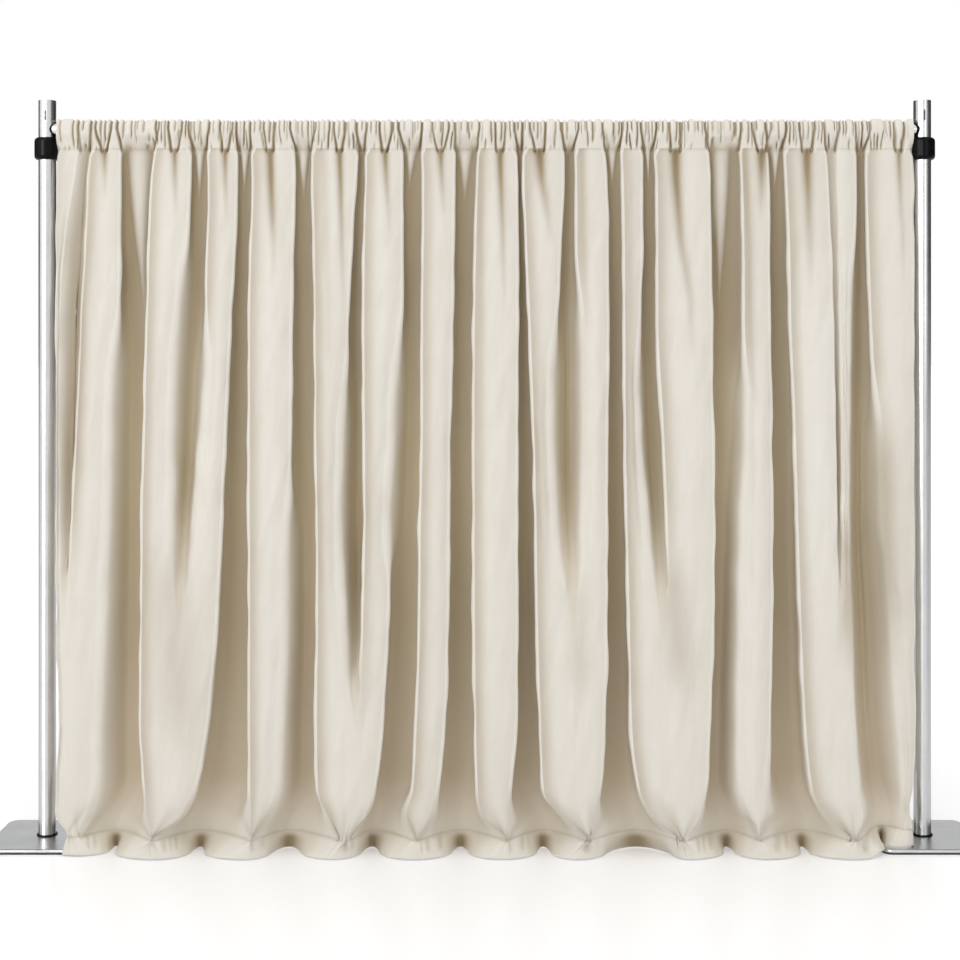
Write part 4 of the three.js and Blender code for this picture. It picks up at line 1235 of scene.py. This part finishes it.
def stitchNodes(material):
    inputs = [("Path", "Geometry", None), ("Seed", "Int", sewing["seed"])]
    inputs += [(label, "Float", sewing[label]) for label in ("Pitch", "Length", "Width")]
    group, entry, leave = newGroup("stitch_run", "GeometryNodeTree", inputs, [("Stitches", "Geometry")])
    curve = addNode(group, "GeometryNodeMeshToCurve", Mesh=entry["Path"]).outputs["Curve"]
    resample = addNode(group, "GeometryNodeResampleCurve", mode="LENGTH", Curve=curve, Length=entry["Pitch"])
    stitch = addNode(group, "GeometryNodeMeshCylinder", Vertices=sewing["sides"], Radius=entry["Width"],
                     Depth=entry["Length"])
    tangent = addNode(group, "GeometryNodeInputTangent").outputs["Tangent"]
    align = addNode(group, "FunctionNodeAlignRotationToVector", axis="Z", Vector=tangent)
    vary = addNode(group, "FunctionNodeRandomValue", data_type="FLOAT", Seed=entry["Seed"])
    vary.inputs[2].default_value, vary.inputs[3].default_value = sewing["varied"]
    place = addNode(group, "GeometryNodeInstanceOnPoints", Points=resample.outputs["Curve"],
                    Instance=stitch.outputs["Mesh"], Rotation=align.outputs["Rotation"],
                    Scale=vary.outputs[1])
    realize = addNode(group, "GeometryNodeRealizeInstances", Geometry=place.outputs["Instances"])
    painted = addNode(group, "GeometryNodeSetMaterial", Geometry=realize.outputs["Geometry"],
                      Material=material)
    feed(group, leave, Stitches=painted.outputs["Geometry"])
    return group


def sewRun(name, row, material):
    line = drapePoints[row] + drapeNormals[row] * sewing["proud"]
    path = bpy.data.meshes.new(name + "_path")
    path.from_pydata(line.tolist(), [(i, i + 1) for i in range(len(line) - 1)], [])
    carrier = addObject(name + "_carrier", path)
    modifier = carrier.modifiers.new("stitches", "NODES")
    modifier.node_group = stitchNodes(material)
    for item in modifier.node_group.interface.items_tree:
        if item.in_out == "INPUT" and item.name in sewing:
            modifier[item.identifier] = sewing[item.name]
    evaluated = carrier.evaluated_get(bpy.context.evaluated_depsgraph_get())
    mesh = bpy.data.meshes.new_from_object(evaluated)
    bpy.data.objects.remove(carrier)
    return addObject(name, mesh)


# Finishes.
def newMaterial(name):
    material = bpy.data.materials.new(name)
    material.use_nodes = True
    return material, material.node_tree, material.node_tree.nodes["Principled BSDF"]


def colourRamp(tree, source, stops):
    ramp = addNode(tree, "ShaderNodeValToRGB", source)
    elements = ramp.color_ramp.elements
    elements[0].position, elements[1].position = stops[0][0], stops[-1][0]
    for position, _ in stops[1:-1]:
        elements.new(position)
    for element, (_, colour) in zip(elements, stops):
        element.color = (*colour, 1)
    return ramp.outputs["Color"]


def calculate(tree, operation, *values):
    return addNode(tree, "ShaderNodeMath", *values, operation=operation).outputs[0]


def mixColours(tree, amount, first, second, **how):
    node = addNode(tree, "ShaderNodeMix", data_type="RGBA", **how, Factor=amount, A=first, B=second)
    return node.outputs["Result"]


def mapRange(tree, source, fromLow, fromHigh, low, high, kind="LINEAR"):
    node = addNode(tree, "ShaderNodeMapRange", interpolation_type=kind, Value=source, From_Min=fromLow,
                   From_Max=fromHigh, To_Min=low, To_Max=high)
    return node.outputs["Result"]


def bump(tree, source, strength, distance, **under):
    node = addNode(tree, "ShaderNodeBump", Strength=strength, Distance=distance, Height=source, **under)
    return node.outputs["Normal"]


# Fine grain, streaks along one axis and a few wider worn patches, as masks from 0 to 1.
def makeSurfaceGroup():
    group, entry, leave = newGroup(
        "surface_detail", "ShaderNodeTree",
        [("Place", "Vector", None), ("Grain", "Float", 900.0), ("Streaks", "Vector", (400, 400, 6)),
         ("Wear", "Float", 9.0)],
        [("Grain", "Float"), ("Streaks", "Float"), ("Wear", "Float")])
    place = entry["Place"]
    stretch = addNode(group, "ShaderNodeVectorMath", place, entry["Streaks"], operation="MULTIPLY").outputs[0]
    grain = addNode(group, "ShaderNodeTexNoise", Vector=place, Scale=entry["Grain"], Detail=3.0)
    streaks = addNode(group, "ShaderNodeTexNoise", Vector=stretch, Scale=1.0, Detail=4.0)
    wear = addNode(group, "ShaderNodeTexNoise", Vector=place, Scale=entry["Wear"], Detail=5.0, Roughness=0.6)
    feed(group, leave, Grain=grain.outputs["Fac"], Streaks=streaks.outputs["Fac"], Wear=wear.outputs["Fac"])
    return group


surfaceGroup = makeSurfaceGroup()


def useSurface(tree, grain, streaks, wear):
    place = addNode(tree, "ShaderNodeTexCoord").outputs["Object"]
    return addNode(tree, "ShaderNodeGroup", node_tree=surfaceGroup, Place=place, Grain=grain, Streaks=streaks,
                   Wear=wear).outputs


# Each solid finish: colours of its low and high places, metallic, roughness range, grain, streaks and bump.
finishes = {
    "polishedTube": {"colours": [(0.62, 0.625, 0.63), (0.75, 0.755, 0.76)], "metallic": 1.0,
                     "rough": (0.17, 0.28), "detail": (1200, (260, 260, 5), 7), "bump": (0.10, 0.00004)},
    "brushedSteel": {"colours": [(0.54, 0.545, 0.55), (0.72, 0.725, 0.73)], "metallic": 1.0,
                     "rough": (0.26, 0.42), "detail": (700, (3, 420, 420), 10), "bump": (0.35, 0.00006)},
    "blackMoulding": {"colours": [(0.002, 0.002, 0.002), (0.005, 0.005, 0.005)], "metallic": 0.0,
                      "rough": (0.20, 0.30), "detail": (1500, (60, 60, 60), 30), "bump": (0.25, 0.00005),
                      "shine": 0.10},
    "blackRubber": {"colours": [(0.016, 0.016, 0.016), (0.035, 0.034, 0.033)], "metallic": 0.0,
                    "rough": (0.62, 0.85), "detail": (900, (90, 90, 90), 20), "bump": (0.6, 0.00012)},
    "zincSteel": {"colours": [(0.50, 0.51, 0.53), (0.70, 0.71, 0.73)], "metallic": 1.0,
                  "rough": (0.28, 0.46), "detail": (800, (120, 120, 20), 40), "bump": (0.25, 0.00005)},
    "brass": {"colours": [(0.62, 0.44, 0.16), (0.80, 0.60, 0.28)], "metallic": 1.0,
              "rough": (0.22, 0.40), "detail": (800, (90, 90, 90), 50), "bump": (0.2, 0.00004)},
    "nylon": {"colours": [(0.55, 0.54, 0.50), (0.68, 0.67, 0.63)], "metallic": 0.0,
              "rough": (0.38, 0.52), "detail": (700, (40, 40, 40), 30), "bump": (0.2, 0.00005)},
}
finishStops = (0.12, 0.42)      # where the two colours of a finish lie on its mask


def makeFinish(name):
    values = finishes[name]
    material, tree, shader = newMaterial(name)
    detail = useSurface(tree, *values["detail"])
    blend = calculate(tree, "MULTIPLY", detail["Streaks"], detail["Wear"])
    colour = colourRamp(tree, blend, list(zip(finishStops, values["colours"])))
    normal = bump(tree, detail["Grain"], *values["bump"])
    normal = bump(tree, detail["Streaks"], *values["bump"], Normal=normal)
    feed(tree, shader, Base_Color=colour, Metallic=values["metallic"], Normal=normal,
         Specular_IOR_Level=values.get("shine", 0.5),
         Roughness=mapRange(tree, detail["Wear"], 0, 1, *values["rough"]))
    return material


# The drape's cloth: a fine satin weave with a soft nap. Its hollows take a warmer, deeper painted shade, and
# its rims and creases painted highlights and shade.
cloth = {
    "base": [(0.25, (0.795, 0.748, 0.665)), (0.55, (0.820, 0.778, 0.700))],
    "hollows": [(0.16, (0.60, 0.505, 0.37)), (0.31, (0.525, 0.433, 0.29)), (0.48, (0.50, 0.412, 0.264)),
                (0.75, (0.315, 0.245, 0.145))],     # the valleys' painted shade, darker higher up; from the hem up: the share of the length, and the colour
    # Laid over these between two values of the painted shading: a rim's painted highlight, a crease's painted
    # shade and a slit's deeper painted shade.
    "tints": [(0, 1, (0.90, 0.88, 0.83)), (0, -1, (0.375, 0.295, 0.180)), (-1, -2, (0.15, 0.105, 0.060))],
    "flecks": [(0.35, (0.62, 0.60, 0.56)), (0.65, (1, 1, 1))],
    "fleckShare": 0.06,         # how strong these are
    "thread": 0.0005,           # metres between threads
    "slubs": (900, 60, 1),      # how fine they are across and along the cloth
    "mottle": 7.0,
    "roughness": (0.46, 0.62),
    "specular": 0.35,
    "sheen": 0.18,
    "sheenRoughness": 0.35,
    "sheenTint": (1.0, 0.97, 0.92, 1),
    "weaveBump": (0.22, 0.00012),
    "slubBump": (0.18, 0.0002),
}


def makeWeaveGroup():
    group, entry, leave = newGroup(
        "satin_weave", "ShaderNodeTree", [("Place", "Vector", None), ("Thread", "Float", 2000.0)],
        [("Height", "Float"), ("Slub", "Float"), ("Mottle", "Float")])
    place = entry["Place"]
    scaled = addNode(group, "ShaderNodeVectorMath", place, operation="SCALE", Scale=entry["Thread"])
    parts = addNode(group, "ShaderNodeSeparateXYZ", scaled.outputs[0]).outputs
    waves = [calculate(group, "SINE", calculate(group, "MULTIPLY", parts[axis], math.pi)) for axis in "XY"]
    stretch = addNode(group, "ShaderNodeVectorMath", place, cloth["slubs"], operation="MULTIPLY").outputs[0]
    slub = addNode(group, "ShaderNodeTexNoise", Vector=stretch, Scale=1.0, Detail=3.0).outputs["Fac"]
    mottle = addNode(group, "ShaderNodeTexNoise", Vector=place, Scale=cloth["mottle"], Detail=4.0,
                     Roughness=0.6)
    feed(group, leave, Height=calculate(group, "MULTIPLY", *waves), Slub=slub, Mottle=mottle.outputs["Fac"])
    return group


def makeClothMaterial():
    material, tree, shader = newMaterial("ivoryCloth")
    uv = addNode(tree, "ShaderNodeUVMap", uv_map="cloth").outputs["UV"]
    hollow, paintedShading = (addNode(tree, "ShaderNodeAttribute", attribute_name=name).outputs["Fac"]
                    for name in ("hollow", "paintedShading"))
    weave = addNode(tree, "ShaderNodeGroup", node_tree=makeWeaveGroup(), Place=uv,
                    Thread=1 / cloth["thread"]).outputs
    height = addNode(tree, "ShaderNodeSeparateXYZ", uv).outputs["Y"]
    share = calculate(tree, "DIVIDE", height, drape["flatLength"])
    colour = colourRamp(tree, weave["Mottle"], cloth["base"])
    # Painted shade in the hollows, then the painted highlights and shade of the rims, creases and slits.
    colour = mixColours(tree, hollow, colour, colourRamp(tree, share, cloth["hollows"]))
    for low, high, tint in cloth["tints"]:
        colour = mixColours(tree, mapRange(tree, paintedShading, low, high, 0, 1), colour, (*tint, 1))
    flecks = colourRamp(tree, weave["Slub"], cloth["flecks"])
    normal = bump(tree, weave["Height"], *cloth["weaveBump"])
    feed(tree, shader,
         Base_Color=mixColours(tree, cloth["fleckShare"], colour, flecks, blend_type="MULTIPLY"),
         Roughness=mapRange(tree, weave["Slub"], 0, 1, *cloth["roughness"]),
         Specular_IOR_Level=cloth["specular"], Sheen_Weight=cloth["sheen"],
         Sheen_Roughness=cloth["sheenRoughness"], Sheen_Tint=cloth["sheenTint"],
         Normal=bump(tree, weave["Slub"], *cloth["slubBump"], Normal=normal))
    return material


thread = {"colours": [(0.3, (0.60, 0.55, 0.45)), (0.7, (0.72, 0.67, 0.57))], "roughness": 0.6,
          "detail": (2500, (600, 600, 600), 20), "bump": (0.3, 0.0001)}


def makeThreadMaterial():
    material, tree, shader = newMaterial("sewingThread")
    grain = useSurface(tree, *thread["detail"])["Grain"]
    feed(tree, shader, Base_Color=colourRamp(tree, grain, thread["colours"]), Roughness=thread["roughness"],
         Normal=bump(tree, grain, *thread["bump"]))
    return material


# The pieces of each finish. Those of the first list are there on the left and on the right.
finishOf = {
    "polishedTube": (["upright"], ["crossbar_outer_tube", "crossbar_inner_tube"]),
    "brushedSteel": (["base_plate"], []),
    "blackMoulding": (["collar", "clamp_knob", "foot_ring", "end_fitting"], ["crossbar_inner_plug"]),
    "blackRubber": (["base_mat"], []),
    "zincSteel": (["spigot", "spigot_screw", "clamp_screw"], []),
    "brass": (["clamp_shoe"], []),
    "nylon": (["collar_bush"], []),
}


def paint(piece, material):
    piece.data.materials.clear()
    piece.data.materials.append(material)


for finish, (paired, single) in finishOf.items():
    material = makeFinish(finish)
    for name in [kind + side for kind in paired for side in ("_left", "_right")] + single:
        paint(nodes[name], material)
print("hardware finished")

clothMaterial, threadMaterial = makeClothMaterial(), makeThreadMaterial()
stitchRuns = [sewRun("hem_stitching", drape["hemRows"] - 1, threadMaterial),
              sewRun("pocket_stitching", bodyRows - 1, threadMaterial)]
for index, panel in enumerate(panels):
    paint(panel, clothMaterial)
    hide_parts("drape_panel_" + str(index + 1))
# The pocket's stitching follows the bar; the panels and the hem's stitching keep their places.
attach(stitchRuns[1], "crossbar")
for piece in panels + stitchRuns[:1]:
    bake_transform(piece)
print("drape finished")


# The studio: a pale floor, a white background and soft lamps. The rows from "dark" on are what polished metal
# and black plastic see, by direction: where a change starts and ends, and the brightness before and after it.
studio = {
    "floor": [(0.3, (0.88, 0.88, 0.885)), (0.7, (0.8888, 0.8888, 0.89385))],
    "floorDetail": (3.0, (2, 2, 2), 0.5),
    "floorRoughness": 0.30,
    "floorSpecular": 0.25,
    "floorSize": 400.0,
    "floorLift": (1.6, 5.0, 0.15, 0.50),    # brightens it for the camera, near and far off
    "skyStrength": 0.74,
    "sky": (0.0, 0.8, 0.55, 1.55),          # near the horizon and overhead
    "lamps": {"key": ((-2.6, -3.6, 4.2), (0, 0, 1.0), (2.6, 2.2), 40.5),    # place, target, size and power
              "fill": ((3.4, -3.4, 2.8), (0, 0, 1.1), (2.4, 2.4), 13.0)},
    "dark": 0.94,                           # from the sides to behind
    "darkFrom": (0.12, 0.22, 0, 1),
    "darkTo": (0.70, 0.82, 1, 0),
    "darkUpTo": (0.19, 0.25, 1, 0),
    "camera": (-0.985, -0.955, 0.85, 1),
    "rightSide": (0.56, 0.80, 1, 0.10),
    "stripLeft": (-0.80, -0.62, 0, 6.5),    # a bright strip to the left of the camera
    "stripRight": (-0.40, -0.22, 1, 0),
    "stripBack": (-0.3, 0.0, 1, 0),
    "stripFoot": (-0.45, -0.35, 0, 1),
    "stripTop": (0.3, 0.4, 1, 0),
}


def makeFloor():
    mesh = bpy.data.meshes.new("floor")
    half = studio["floorSize"]
    corners = [(-half, -half, 0), (half, -half, 0), (half, half, 0), (-half, half, 0)]
    mesh.from_pydata(corners, [], [(0, 1, 2, 3)])
    floor = addObject("floor", mesh)
    material, tree, shader = newMaterial("studioFloor")
    wear = useSurface(tree, *studio["floorDetail"])["Wear"]
    path = addNode(tree, "ShaderNodeLightPath").outputs
    place = addNode(tree, "ShaderNodeTexCoord").outputs["Object"]
    away = addNode(tree, "ShaderNodeVectorMath", place, operation="LENGTH").outputs["Value"]
    lift = calculate(tree, "MULTIPLY", path["Is Camera Ray"], mapRange(tree, away, *studio["floorLift"]))
    feed(tree, shader, Base_Color=colourRamp(tree, wear, studio["floor"]),
         Roughness=studio["floorRoughness"], Specular_IOR_Level=studio["floorSpecular"],
         Emission_Strength=lift, Emission_Color=(1, 1, 1, 1))
    paint(floor, material)


def makeWorld():
    world = bpy.data.worlds.new("studio")
    bpy.context.scene.world = world
    world.use_nodes = True
    tree = world.node_tree
    tree.nodes.clear()
    place = addNode(tree, "ShaderNodeTexCoord").outputs["Generated"]
    across, along, up = addNode(tree, "ShaderNodeSeparateXYZ", place).outputs

    def step(source, name):
        return mapRange(tree, source, *studio[name], kind="SMOOTHSTEP")

    def product(*factors):
        total = factors[0]
        for factor in factors[1:]:
            total = calculate(tree, "MULTIPLY", total, factor)
        return total

    def background(strength):
        return addNode(tree, "ShaderNodeBackground", (1, 1, 1, 1), strength).outputs[0]

    behind = calculate(tree, "MAXIMUM", step(along, "darkTo"), step(up, "darkUpTo"))
    bright = calculate(tree, "MULTIPLY_ADD", product(step(along, "darkFrom"), behind), -studio["dark"], 1.0)
    strip = product(step(across, "stripLeft"), step(across, "stripRight"), step(along, "stripBack"),
                    step(up, "stripFoot"), step(up, "stripTop"))
    seen = product(bright, step(along, "camera"), step(across, "rightSide"))
    surface = background(product(step(up, "sky"), studio["skyStrength"]))
    path, white = addNode(tree, "ShaderNodeLightPath").outputs, background(1.0)
    for ray, shown in (("Is Glossy Ray", background(calculate(tree, "ADD", seen, strip))),
                       ("Is Transmission Ray", white), ("Is Camera Ray", white)):
        surface = addNode(tree, "ShaderNodeMixShader", path[ray], surface, shown).outputs[0]
    addNode(tree, "ShaderNodeOutputWorld", surface)


def addLamp(name, place, target, size, power):
    lamp = bpy.data.lights.new(name, "AREA")
    lamp.shape = "RECTANGLE"
    lamp.size, lamp.size_y = size
    lamp.energy = power
    holder = addObject(name, lamp)
    holder.location = place
    holder.rotation_euler = (Vector(target) - Vector(place)).to_track_quat("-Z", "Y").to_euler()


makeFloor()
makeWorld()
for name, values in studio["lamps"].items():
    addLamp(name, *values)
bpy.context.scene.view_settings.view_transform = "Standard"
print("studio lit")


def writeSize():
    def plain(corners):
        return [[float(value) for value in corner] for corner in corners]


writeSize()
